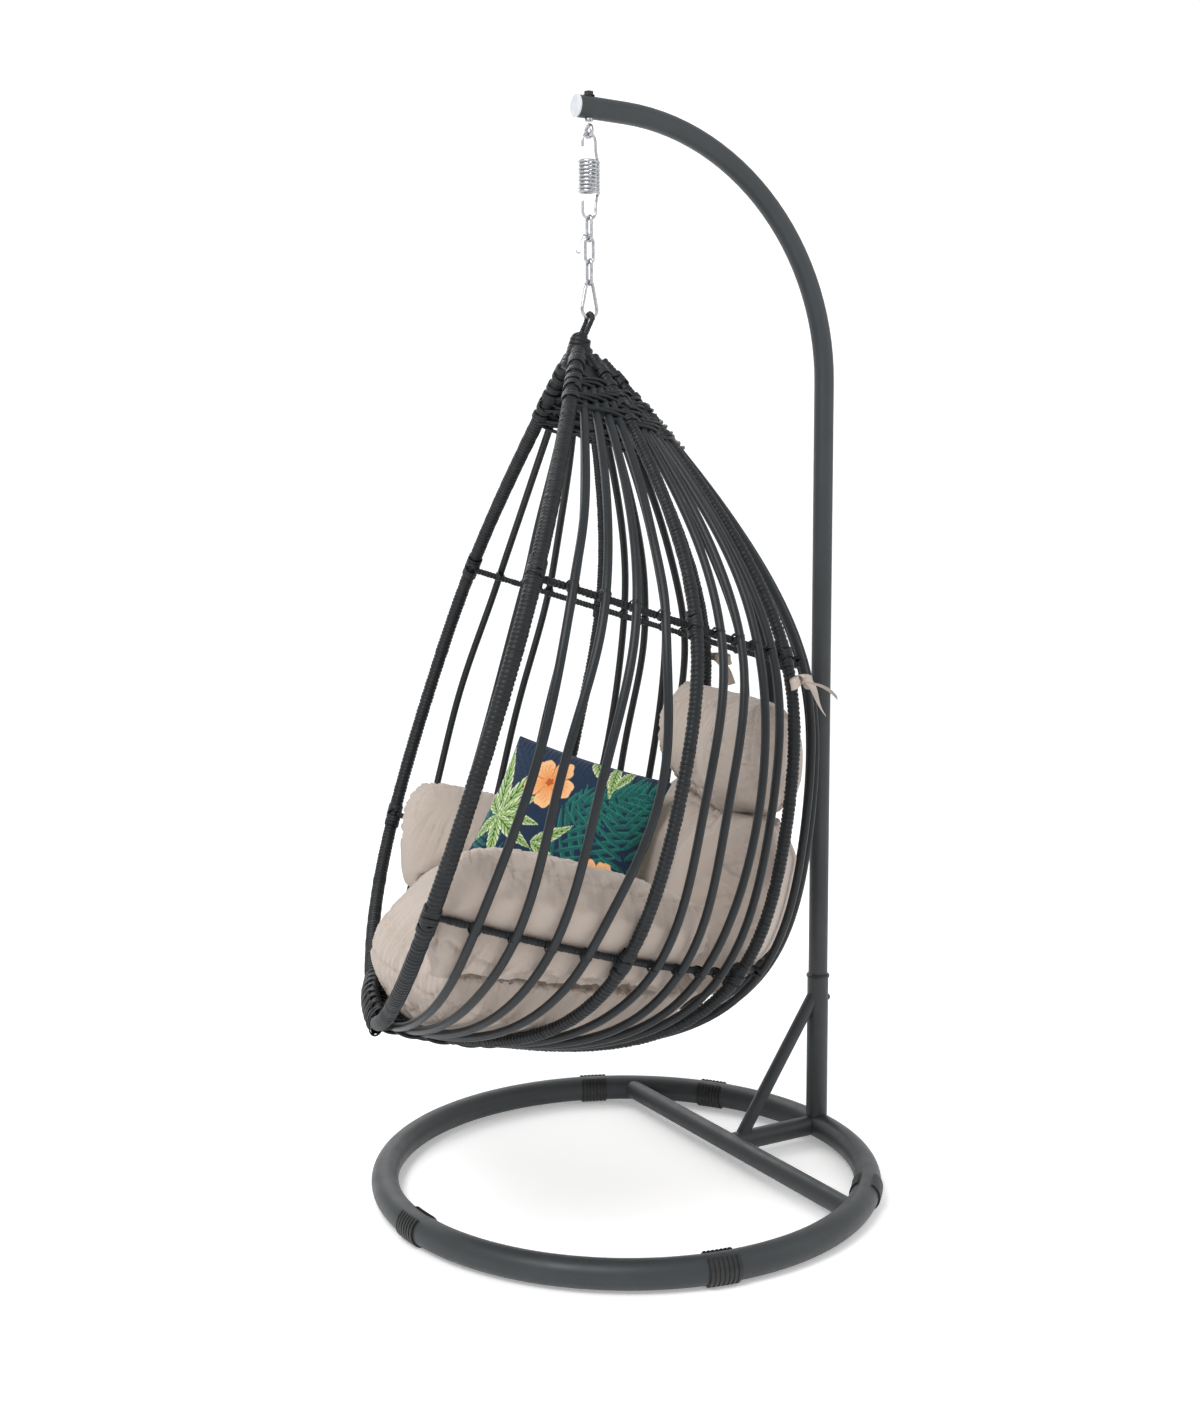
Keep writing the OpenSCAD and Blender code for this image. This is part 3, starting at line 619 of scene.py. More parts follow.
def crossing(t, phi, seed):
    """Two strips lashed crosswise over a cane and the hoop behind it."""
    local = np.random.default_rng(seed)
    centre = egg(t, phi, HOOP_IN / 2)
    along = along_rail(t, phi)
    deep = turn_to_world(inward(t, phi))
    side = np.cross(along, deep)
    parts = []
    for k, way in enumerate((-1, 1)):
        lean = way * local.uniform(0.5, 0.75)
        axis = unit(along * math.cos(lean) + side * math.sin(lean))
        parts.append(strap(centre + along * local.normal(0, 0.8 * MM), axis,
                           (CANE_R + 5.5 * MM, CANE_R + 1.6 * MM), 5.5 * MM, turns=1.9,
                           pitch=3.2 * MM, thick=0.0012, seed=seed * 7 + k, across=deep))
    return parts


def make_ties(name, t, seed):
    angles = [phi for group in BAYS.values() for phi in group]
    parts = [part for k, phi in enumerate(angles) for part in crossing(t, phi, seed + k)]
    make(name + "_lashed", *join(parts), STRIP, name)


# Strip where a hoop meets a rail: how far down in mm, slant, turns, and what it adds in depth in mm
RAIL_STRAPS = ((-16, 0.12, 2.2, 0), (-3, -0.5, 1.9, 2.5), (3, 0.42, 1.9, 2.5), (17, -0.1, 2.2, 0))


def make_rail_lashings():
    """Bands of slanting strip where the hoops meet a rail."""
    parts = []
    for k, phi in enumerate(RAILS.values()):
        radius = rail_radius(phi)
        for t in HOOPS:
            along = along_rail(t, phi)
            deep_way = turn_to_world(inward(t, phi))
            for n, (move, tilt, turns, more) in enumerate(RAIL_STRAPS):
                centre = egg(t, phi, 2.5 * MM) + along * move * MM
                radii = (radius + 1.6 * MM + more * MM, radius + 1.2 * MM)
                parts.append(strap(centre, along, radii, 7 * MM, turns=turns, pitch=5.5 * MM,
                                   thick=0.0013, seed=31 * k + n, tilt=tilt, across=deep_way))
    make("rail_lashings", *join(parts), STRIP, slot="rattan_wrap")


def twined(t, phis, deep, size, rows, step, twist, seed, strand):
    """Rows of paired strands that twist round each other from cane to cane."""
    parts = []
    local = np.random.default_rng(seed)
    phi = np.linspace(phis[0], phis[1], 420)
    for row in range(rows):
        base = t + (row - (rows - 1) / 2) * step
        for ply in (0, 1):
            phase = ply * math.pi + row * 2.1 + local.normal(0, 0.15)
            turn = np.radians(phi - phis[0]) * twist + phase
            depth = deep + size * 0.5 * np.sin(turn)
            points = egg(base + step * 0.42 * np.cos(turn), phi, depth)
            path = Path(points, up=turn_to_world(DOWN))
            parts.append(tube(path, strand, 300, sides=8, flat=0.8))
    return parts


def make_collar():
    """A dense twined band over the canes' upper ends, with a woven ground behind it."""
    parts = twined(COLLAR_T + 0.002, (-RIM - 2, RIM + 2), -4 * MM, 9 * MM, 7, 0.0042, 9, 3, 3.7 * MM)
    parts += twined(COLLAR_T + 0.001, (-RIM, RIM), 9 * MM, 7 * MM, 5, 0.0062, 9, 4, 3.4 * MM)
    rows, columns = 10, 120
    t, phi = np.meshgrid(np.linspace(0.020, 0.060, rows), np.linspace(-RIM, RIM, columns), indexing="ij")
    faces, i, j = grid_faces(rows, columns, False)
    ground = egg(t, phi, np.full(t.shape, 3.5 * MM)).reshape(-1, 3)
    uv = grid_uv(i, j, t[:, 0], columns).reshape(-1, 2).tolist()
    parts.append((ground, faces[:, ::-1].tolist(), uv))
    make("collar_twined", *join(parts), STRIP, "top_collar")


def below_top(forward, up):
    """A place near the basket's top, in mm from it."""
    return to_world(TOP + np.array([forward, 0, up]) * MM)


def make_top():
    """The loop the carabiner holds, and the strip that binds the rails under it."""
    low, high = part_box("top_loop")
    thick = (high[0] - low[0]) / 2
    half = (high[1] - low[1]) / 2 - thick
    apex = below_top(4, -14)
    x, y, top = HANG.x, HANG.y, high[2] - thick
    arc = [[x, y + half * math.cos(a), top - half + half * math.sin(a)]
           for a in np.linspace(0, math.pi, 24)]
    near = [apex + (np.array(arc[0]) - apex) * u for u in np.linspace(0, 0.92, 8)]
    far = [apex + (np.array(arc[-1]) - apex) * u for u in np.linspace(0.92, 0, 8)]
    near = [p + np.array([0, half * 0.8 * (1 - u), 0]) for p, u in zip(near, np.linspace(0, 1, 8))]
    far = [p - np.array([0, half * 0.8 * (1 - u), 0]) for p, u in zip(far, np.linspace(1, 0, 8))]
    loop = Path(np.array(near + arc + far), up=(1, 0, 0))
    skin = wound(loop, thick - 0.6 * MM, 5.5 * MM, sides=14, swell=0.0006, seed=5)
    make("loop_wound", *skin, STRIP, "top_loop")
    axis = unit(to_world(TOP) - below_top(14, -110))
    parts = []
    for k in range(7):
        lean = np.array([0.25 * math.sin(2.3 * k), 0.25 * math.cos(1.7 * k), 0])
        size = (15 + 2.6 * k) * MM
        parts.append(strap(below_top(2, -(3 + 7.5 * k)), axis + lean, (size, size * 0.9), 9 * MM,
                           turns=2.3, pitch=7 * MM, thick=0.0016, seed=60 + k))
    for k, phi in enumerate(RAILS.values()):
        way = unit(egg(0.05, phi) - egg(0.015, phi))
        for n, (t, tilt) in enumerate(((0.021, 0.5), (0.026, -0.25), (0.034, 0.1))):
            r = float(crowd(np.array(t), rail_radius(phi), APEX_SHARE)) + 1.6 * MM
            parts.append(strap(egg(t, phi), way, (r, r), 8 * MM, turns=2.1, pitch=5 * MM,
                               thick=0.0014, seed=90 + 5 * k + n, tilt=tilt))
        for n, t in enumerate((0.041, 0.049, 0.057)):
            r = float(crowd(np.array(t), rail_radius(phi), APEX_SHARE)) + 2.0 * MM
            parts.append(strap(egg(t, phi), way, (r, r), 7.5 * MM, turns=2.2, pitch=6 * MM,
                               thick=0.0014, seed=140 + 5 * k + n, tilt=0.3 * (-1) ** n))
    core = Path([below_top(0, 2), below_top(4, -26), below_top(10, -56)], up=(0, 1, 0))
    parts.append(tube(core, lambda u: (9 + 17 * u) * MM, 14, sides=14))
    make("apex_lashings", *join(parts), STRIP, "apex_wrap")


def make_lip():
    """The foot of the basket: a woven band round the canes' ends and a wound bar across the front."""
    a, b = egg(LIP_T, -RIM), egg(LIP_T, RIM)
    front, down = turn_to_world(-BACK), turn_to_world(DOWN)
    parts, bow = [], 9 * MM
    u = np.linspace(0, 1, 60)
    bar = a + (b - a) * u[:, None] + front * (np.sin(u * math.pi) * bow)[:, None]
    for k, (drop, out) in enumerate(((0, 0), (14, -2), (-13, -4))):
        line = bar + down * drop * MM + front * out * MM
        parts.append(wound(Path(line, up=down), 8.5 * MM, 8 * MM, sides=12, swell=0.0013, seed=11 + k))
    for k in range(15):
        v = (k + 0.5) / 15
        centre = a + (b - a) * v + front * math.sin(v * math.pi) * bow
        parts.append(strap(centre, b - a, (23 * MM, 13 * MM), 9 * MM, turns=1.6, pitch=8 * MM,
                           thick=0.0016, seed=200 + k, tilt=0.35 * (-1) ** k, across=down))
    parts += twined(LIP_T + 0.002, (-RIM - 1, RIM + 1), -2 * MM, 17 * MM, 4, 0.0085, 13, 21, 3.6 * MM)
    parts += twined(LIP_T, (-RIM, RIM), 9 * MM, 8 * MM, 3, 0.009, 11, 22, 3.4 * MM)
    make("lip_wound", *join(parts), STRIP, "front_lip")
    parts, stop = [], 0.994
    for k, t in enumerate(np.linspace(LIP_T + 0.012, 0.992, 7)):
        parts += twined(t, (-RIM - 2, RIM + 2), 0, 7 * MM, 1, 0.004, 12, 40 + k, 3.4 * MM)
    for phi in np.linspace(-RIM, RIM, 13):
        path = Path(egg(np.linspace(LIP_T, stop, 30), phi, 1 * MM), up=turn_to_world([0, 1, 0.1]))
        rod = lambda u: crowd(LIP_T + (stop - LIP_T) * u, 5 * MM, 0.05)
        parts.append(tube(path, rod, 20, sides=8))
    make("lip_weave_twined", *join(parts), STRIP, "lip_weave")


for number, (node, phi) in enumerate(RAILS.items()):
    make_rail(node, phi, number + 1)
for number, (node, angles) in enumerate(BAYS.items()):
    make_canes(node, angles, number + 1)
make_hoop("upper_hoop", HOOPS[0], 51)
make_hoop("lower_hoop", HOOPS[1], 52)
make_ties("upper_ties", HOOPS[0], 300)
make_ties("lower_ties", HOOPS[1], 400)
make_rail_lashings()
make_collar()
make_top()
make_lip()


# ---- cushions -------------------------------------------------------------------------------
def points_of(mesh, what="vertices", key="co"):
    out = np.empty(len(mesh.vertices) * 3, dtype=np.float32)
    getattr(mesh, what).foreach_get(key, out)
    return out.reshape(-1, 3).astype(float)


def set_points(mesh, points):
    mesh.vertices.foreach_set("co", np.asarray(points, dtype=np.float32).ravel())
    mesh.update()


def bake(obj):
    """Puts the result of a piece's modifiers into its mesh."""
    graph = bpy.context.evaluated_depsgraph_get()
    mesh = bpy.data.meshes.new_from_object(obj.evaluated_get(graph))
    obj.modifiers.clear()
    obj.data = mesh
    return mesh


def tree_of(points):
    tree = KDTree(len(points))
    for k, p in enumerate(points):
        tree.insert(p, k)
    tree.balance()
    return tree


def wall_grid():
    """A tree of places on the egg, to find how far inside its wall a point is."""
    t, phi = np.meshgrid(np.linspace(0.2, 0.99, 170), np.linspace(-104, 104, 170), indexing="ij")
    place = egg(t, phi).reshape(-1, 3)
    normal = turn_to_world(inward(t, phi)).reshape(-1, 3)
    return tree_of(place), place, normal, t.ravel()


WALL = wall_grid()
CLEAR, PRESSED = 12 * MM, 21 * MM       # how near a cushion lies to the canes and to a hoop


def hold_inside(points):
    """Keeps a cushion off the canes, and dents it where a hoop presses."""
    tree, place, normal, t = WALL
    near = np.array([tree.find(p)[1] for p in points])
    depth = ((points - place[near]) * normal[near]).sum(1)
    hoop = sum(np.exp(-((t[near] - h) / 0.022) ** 2) for h in HOOPS)
    least = CLEAR + (PRESSED - CLEAR) * np.clip(hoop, 0, 1)
    return points + normal[near] * np.clip(least - depth, 0, 0.03)[:, None]


def pull_down(points, reach):
    """Draws a cushion's lower part down, so that it is tucked against the cushion below."""
    tree, _, _, t = WALL
    own = t[[tree.find(p)[1] for p in points]]
    middle_t = (own.min() + own.max()) / 2
    share = np.clip((own - middle_t) / (own.max() - middle_t), 0, 1)
    return points + turn_to_world(DOWN) * (reach * share ** 1.3)[:, None]


def stuffed(voxel, shrink, pressure, cap):
    """Copies of the CAD cushions, remeshed and blown up together as cloth.

    No point moves further than the cap.
    """
    pieces = []
    for node, (rounding, tuck, _) in MAKE_UP.items():
        cad = frame["nodes"][node]
        mesh = cad.data.copy()
        mesh.transform(cad.matrix_world)
        mesh.materials.clear()
        mesh.materials.append(CLOTH)
        obj = bpy.data.objects.new(node + "_stuffed", mesh)
        scene.collection.objects.link(obj)
        remesh = obj.modifiers.new("remesh", "REMESH")
        remesh.mode = "VOXEL"
        remesh.voxel_size = voxel
        soften = obj.modifiers.new("soften", "SMOOTH")
        soften.iterations = rounding
        soften.factor = 0.6
        mesh = bake(obj)
        before = points_of(mesh) - points_of(mesh, "vertex_normals", "vector") * shrink
        if tuck:
            before = pull_down(before, tuck)
        set_points(mesh, before)
        cloth = obj.modifiers.new("cloth", "CLOTH").settings
        cloth.quality = 4
        cloth.mass = 0.3
        cloth.use_pressure = True
        cloth.uniform_pressure_force = pressure
        cloth.tension_stiffness = cloth.compression_stiffness = 9
        cloth.shear_stiffness = 5
        cloth.bending_stiffness = 0.4
        cloth.effector_weights.gravity = 0
        pieces.append((node, obj, before))
    for number in range(1, 21):
        scene.frame_set(number)
    for node, obj, before in pieces:
        mesh = bake(obj)
        moved = points_of(mesh) - before
        reach = np.linalg.norm(moved, axis=1, keepdims=True)
        points = before + moved * np.minimum(1, cap / np.maximum(reach, 1e-9))
        set_points(mesh, hold_inside(points))
        divide = obj.modifiers.new("divide", "SUBSURF")
        divide.levels = divide.render_levels = 1
        mesh = bake(obj)
        mesh.polygons.foreach_set("use_smooth", [True] * len(mesh.polygons))
    scene.frame_set(1)
    return {node: obj for node, obj, before in pieces}


def on_surface(obj, points):
    """The places on a piece's skin nearest to a line's points, evenly spread along it."""
    found = np.array([obj.closest_point_on_mesh(Vector(p))[1] for p in points])
    path = Path(found, up=(0.1, 0.2, 1))
    return path.at(np.linspace(0, path.length, max(8, int(path.length / (3 * MM)))))[0]


def ridges(s, period, seed):
    """Soft folds of uneven width along a line, from -1 to 1."""
    local = np.random.default_rng(seed)
    out = np.zeros_like(s)
    for scale, share in ((1.0, 0.55), (1.9, 0.3), (0.47, 0.45)):
        out += share * np.sin(s / period / scale * math.tau + local.uniform(0, math.tau)
                              + 1.3 * np.sin(s / period / 3.7 + local.uniform(0, math.tau)))
    return out


def sew(node, line, channel, width, gather, reach, period, seed):
    """Draws a seam down into a cushion along a line, with the cloth gathered into folds beside it.

    All sizes are in mm: the seam's depth and width, the folds' height, reach and period.
    """
    channel, width, gather, reach, period = np.array([channel, width, gather, reach, period]) * MM
    obj = CUSHIONS[node]
    mesh = obj.data
    points = points_of(mesh)
    normals = points_of(mesh, "vertex_normals", "vector")
    line = on_surface(obj, line)
    s = np.concatenate([[0], np.cumsum(np.linalg.norm(np.diff(line, axis=0), axis=1))])
    tree = tree_of(line)
    low, high = line.min(0) - 4 * reach, line.max(0) + 4 * reach
    near = np.nonzero(np.all((points > low) & (points < high), axis=1))[0]
    found = [tree.find(points[k]) for k in near]
    d = np.array([f[2] for f in found])
    at = np.array([s[f[1]] for f in found])
    push = -channel * np.exp(-(d / width) ** 2)
    beside = np.exp(-d / reach) * (1 - np.exp(-(d / (0.7 * width)) ** 2))
    push += gather * ridges(at, period, seed) * beside
    points[near] += normals[near] * push[:, None]
    set_points(mesh, points)


def edge_line(t0, t1, p0, p1, depth):
    """A line round a pad at one depth in mm, its corners rounded."""
    u = np.linspace(0, math.tau, 150)
    power = 2 / (1 + 0.18 * 12)
    x = np.sign(np.cos(u)) * np.abs(np.cos(u)) ** power
    y = np.sign(np.sin(u)) * np.abs(np.sin(u)) ** power
    t, phi = t0 + (t1 - t0) * (y + 1) / 2, p0 + (p1 - p0) * (x + 1) / 2
    return egg(t, phi, np.full(len(u), depth * MM))


SEAT_T, HEAD_T, HEAD_TOP_T = 0.775, 0.465, 0.295
# For each cushion: rounds of smoothing, how far it is tucked down, and how full it is
MAKE_UP = {"seat_cushion": (12, 0, 0.8), "near_arm_cushion": (36, 0.048, 0.75),
           "far_arm_cushion": (36, 0.080, 0.75), "back_cushion": (24, 0.034, 0.75),
           "head_cushion": (60, 0.036, 0.85)}
CUSHIONS = stuffed(voxel=7 * MM, shrink=6 * MM, pressure=6.0, cap=25 * MM)
for node, obj in CUSHIONS.items():
    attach(obj, "basket")
    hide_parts(node)


def fold(node, t, phi, depth, *how):
    """One long soft crease between two places on a cushion, at a depth in mm."""
    t, phi = np.linspace(*t, 60), np.linspace(*phi, 60)
    sew(node, egg(t, phi, np.full(60, depth * MM)), *how)


def sew_cushions():
    """The seams round each cushion and the creases across it."""
    for node, p0, p1, t0, seed in (("near_arm_cushion", 43, 94.5, 0.61, 1),
                                   ("far_arm_cushion", -93, -44, 0.63, 2)):
        foot = SEAT_T - 0.01
        sew(node, edge_line(t0 + 0.008, foot, p0 + 2, p1 - 2, 46), 4.5, 4, 3.4, 24, 18, seed)
        sew(node, edge_line(t0 + 0.01, foot, p0 + 3, p1 - 3, 105), 2.5, 4, 2.2, 30, 24, seed + 5)
    for inset, phi, depth, how in ((0.012, 39, 60, (4.5, 4, 3.6, 30, 20, 11)),
                                   (0.02, 36, 150, (3.5, 4, 3.8, 36, 26, 12))):
        sew("head_cushion", edge_line(HEAD_TOP_T + inset, HEAD_T - inset, -phi, phi, depth), *how)
    for k, (t, phi) in enumerate((((0.43, 0.33), (30, 34)), ((0.44, 0.315), (14, 22)),
                                  ((0.44, 0.31), (-6, -2)), ((0.43, 0.33), (-28, -24)))):
        fold("head_cushion", t, phi, 190, 6, 13, 0.8, 26, 15, 20 + k)
    line = edge_line(HEAD_T + 0.02, SEAT_T - 0.02, -42, 42, 60)
    sew("back_cushion", line, 3.5, 3.5, 2.4, 28, 20, 31)
    fold("back_cushion", (HEAD_T + 0.03, HEAD_T + 0.03), (-40, 40), 165, 5, 7, 3.4, 36, 30, 32)
    for k, drop in enumerate((0.018, 0.085)):
        t = SEAT_T + drop
        fold("seat_cushion", (t, t), (-86, 86), 25, 4, 4, 3.6, 30, 22, 41 + k)
    a, b = egg(SEAT_T + 0.06, -86, 30 * MM), egg(SEAT_T + 0.06, 86, 30 * MM)
    roll = turn_to_world(-BACK)
    u = np.linspace(0.02, 0.98, 80)
    for k, (drop, out, channel) in enumerate(((-10, 70, 2), (55, 105, 4), (130, 60, 3))):
        line = a + (b - a) * u[:, None] + roll * (out * MM * np.sin(u * math.pi))[:, None] \
            + turn_to_world(DOWN) * drop * MM
        sew("seat_cushion", line, channel, 4, 3.4, 34, 24, 51 + k)


sew_cushions()


# ---- pillow ---------------------------------------------------------------------------------
PILLOW_W, PILLOW_H, PILLOW_T = 0.340, 0.284, 0.104
NAVY, TEAL, SEA = (0.009, 0.026, 0.062), (0.006, 0.095, 0.082), (0.030, 0.270, 0.200)
PALE, CREAM, VEIN = (0.34, 0.52, 0.17), (0.82, 0.80, 0.58), (0.012, 0.075, 0.030)
PEACH, ORANGE, HEART = (0.93, 0.53, 0.25), (0.85, 0.27, 0.06), (0.45, 0.10, 0.02)


def axes(turn, lean, roll):
    """The pillow's own axes in the basket's frame: turned round, leant back and rolled."""
    spin = Matrix.Rotation(turn, 3, "Z") @ Matrix.Rotation(math.pi / 2 - lean, 3, "X")
    return np.array(spin @ Matrix.Rotation(-roll, 3, "Z"))


def blade(x, y, root, heading, length, width, bend):
    """Where points lie in a leaf that grows from its root: inside or not, along it and across it."""
    c, s = math.cos(heading), math.sin(heading)
    along = ((x - root[0]) * c + (y - root[1]) * s) / length
    inner = np.clip(along, 0, 1)
    across = (-(x - root[0]) * s + (y - root[1]) * c) - bend * length * inner ** 2
    half = width / 2 * np.sin(math.pi * inner ** 0.7) + 1e-6
    return (along > 0) & (along < 1) & (np.abs(across) < half), inner, across / half


def print_leaf(colour, x, y, root, heading, length, width, bend):
    """A broad leaf with a paler edge, a dark midrib and slanting side veins."""
    inside, along, across = blade(x, y, root, heading, length, width, bend)
    rim = np.clip((np.abs(across) - 0.55) / 0.4, 0, 1)[:, None]
    body = np.array(PALE) * (1 - rim) + np.array(CREAM) * rim
    side = np.sin((along * 9 - np.abs(across) * 1.6) * math.tau) > 0.72
    mid = np.abs(across) < 0.09
    body = np.where((side | mid)[:, None], np.array(VEIN), body)
    colour[inside] = body[inside]


def print_palm(colour, x, y, root, heading, length, reach, count, bend):
    """A feathered palm leaf: narrow leaflets either side of a curved stem."""
    for k in range(count):
        u = (k + 0.6) / count
        lean = heading + bend * u
        place = (root[0] + math.cos(heading + bend * u / 2) * length * u,
                 root[1] + math.sin(heading + bend * u / 2) * length * u)
        for side in (-1, 1):
            size = reach * (0.55 + 0.75 * math.sin(math.pi * (0.15 + 0.8 * u)))
            inside, along, across = blade(x, y, place, lean + side * (1.05 - 0.5 * u), size, 9 * MM,
                                          side * -0.12)
            light = np.clip(0.5 + 0.5 * across, 0, 1)[:, None] * (0.3 + 0.7 * along[:, None])
            body = np.array(TEAL) * (1 - light) + np.array(SEA) * light
            body = np.where((np.abs(across) < 0.12)[:, None], np.array(NAVY), body)
            colour[inside] = body[inside]


def print_flower(colour, x, y, centre, size):
    dx, dy = x - centre[0], y - centre[1]
    r, angle = np.hypot(dx, dy) / size, np.arctan2(dy, dx)
    five = np.abs(np.cos(2.5 * angle + 0.4))
    petal = 0.62 + 0.34 * five ** 0.7 + 0.03 * np.sin(13 * angle)
    inside = r < petal
    share = np.clip(r / petal, 0, 1)[:, None]
    body = np.array(ORANGE) * (1 - share) + np.array(PEACH) * share
    streak = (np.sin(28 * angle + 3 * np.sin(9 * share[:, 0])) > 0.55) & (share[:, 0] < 0.8)
    body = np.where(streak[:, None], body * 0.78, body)
    body = np.where((five < 0.14)[:, None] & (share > 0.3), np.array(ORANGE) * 0.75, body)
    body = np.where(share < 0.16, np.array(HEART), body)
    colour[inside] = body[inside]


def print_colours(x, y):
    """A made-up tropical print: leaves, palms and flowers on navy, for points in metres."""
    colour = np.tile(np.array(NAVY), (len(x), 1))
    for palm in (((0.055, -0.150), 1.45, 0.27, 0.070, 12, -0.5),
                 ((-0.02, -0.150), 1.0, 0.21, 0.060, 10, 0.5),
                 ((0.175, -0.08), 2.1, 0.20, 0.060, 10, -0.4),
                 ((0.00, 0.02), 0.25, 0.15, 0.050, 9, 0.6),
                 ((-0.10, -0.15), 1.9, 0.14, 0.045, 8, 0.3)):
        print_palm(colour, x, y, *palm)
    plant = (-0.125, -0.030)
    for leaf in ((plant, 1.75, 0.16, 0.030, 0.10), (plant, 1.25, 0.15, 0.030, -0.12),
                 (plant, 2.3, 0.10, 0.026, 0.1), (plant, 0.75, 0.10, 0.024, -0.1),
                 (plant, 0.15, 0.10, 0.026, -0.1), (plant, -0.5, 0.11, 0.028, 0.1),
                 (plant, -1.3, 0.10, 0.026, -0.1), (plant, -2.2, 0.07, 0.022, 0.1),
                 ((0.01, 0.145), -0.9, 0.085, 0.024, 0.15), ((0.06, 0.142), -1.2, 0.08, 0.022, -0.1),
                 ((-0.03, -0.060), 0.5, 0.09, 0.026, 0.15), ((-0.03, -0.060), -0.3, 0.08, 0.022, -0.1),
                 ((0.10, 0.140), -2.0, 0.06, 0.020, 0.1)):
        print_leaf(colour, x, y, *leaf)
    print_flower(colour, x, y, (-0.045, 0.062), 0.056)
    print_flower(colour, x, y, (0.115, -0.085), 0.040)
    return colour


def make_pillow():
    across, up = 221, 185
    u, v = np.meshgrid(np.linspace(-1, 1, across), np.linspace(-1, 1, up), indexing="ij")
    pull = lambda a, b: a * (1 - 0.07 * (1 - a * a) - 0.05 * (1 - b * b) * np.abs(a)) / 2
    x, y = pull(u, v) * PILLOW_W, pull(v, u) * PILLOW_H
    puff = (PILLOW_T / 2 - 2 * MM) * np.clip((1 - u * u) * (1 - v * v), 0, 1) ** 0.45 + 1.5 * MM
    gap_u, gap_v = (1 - np.abs(u)) * PILLOW_W, (1 - np.abs(v)) * PILLOW_H
    edge = np.minimum(gap_u, gap_v) / 2
    around = np.where(gap_u < gap_v, v * PILLOW_H, u * PILLOW_W + 1)
    gather = np.exp(-edge / 0.022) * np.clip(edge / 0.006, 0, 1)
    corner = np.exp(-(((1 - np.abs(u)) * 2.2) ** 2 + ((1 - np.abs(v)) * 2.2) ** 2))
    crease = np.sin((np.abs(u) * PILLOW_W - np.abs(v) * PILLOW_H) / 0.034 * math.tau)
    layers = []
    for side in (1, -1):
        lift = puff + 1.6 * MM * gather * ridges(around + 3 * side, 0.021, 70 + side) \
            + 2.2 * MM * corner * crease * (puff / puff.max())
        layers.append(np.stack([x, y, side * lift], -1).reshape(-1, 3))
    faces, _, _ = grid_faces(across, up, False)
    total = across * up
    ring = list(range(up)) + [i * up + up - 1 for i in range(1, across)] \
        + [(across - 1) * up + j for j in range(up - 2, -1, -1)] \
        + [i * up for i in range(across - 2, 0, -1)]
    wall = [[total + a, a, b, total + b] for a, b in zip(ring, ring[1:] + ring[:1])]
    skin = faces[:, ::-1].tolist() + (faces + total).tolist() + [w[::-1] for w in wall]
    at = np.array([24, -154, 660]) * MM          # the pillow's middle in the basket's frame
    spin = axes(math.radians(148), math.radians(29), math.radians(14))
    points = to_world(np.vstack(layers) @ spin.T + at)
    obj = make("scatter_pillow_printed", points, skin, None, PRINT, "scatter_pillow",
               slot="pillow_fabric")
    paint_layer = obj.data.color_attributes.new("print", "FLOAT_COLOR", "POINT")
    flat = np.vstack(layers)[:, :2]
    flat[total:, 0] *= -1
    colour = np.hstack([print_colours(flat[:, 0], flat[:, 1]), np.ones((2 * total, 1))])
    paint_layer.data.foreach_set("color", colour.astype(np.float32).ravel())
    rim = Path(points[ring], up=turn_to_world([0, 0, 1]), closed=True)
    make("pillow_hem", *tube(rim, 1.6 * MM, 700, sides=8), HEM, slot="pillow_fabric")


make_pillow()


# ---- ties -----------------------------------------------------------------------------------
def tape(line, wide, width, rows=5):
    """A strip of cloth along a line, its width along the directions given."""
    line, wide = np.asarray(line, float), unit(np.asarray(wide, float))
    tangent = unit(np.gradient(line, axis=0))
    wide = unit(wide - tangent * (wide * tangent).sum(-1, keepdims=True))
    v = np.linspace(-0.5, 0.5, rows)
    verts = line[:, None] + wide[:, None] * (v * width)[None, :, None]
    faces, i, j = grid_faces(len(line), rows, False)
    s = np.concatenate([[0], np.cumsum(np.linalg.norm(np.diff(line, axis=0), axis=1))])
    return (verts.reshape(-1, 3), faces.tolist(), grid_uv(i, j, s, rows).reshape(-1, 2).tolist()), s[-1]


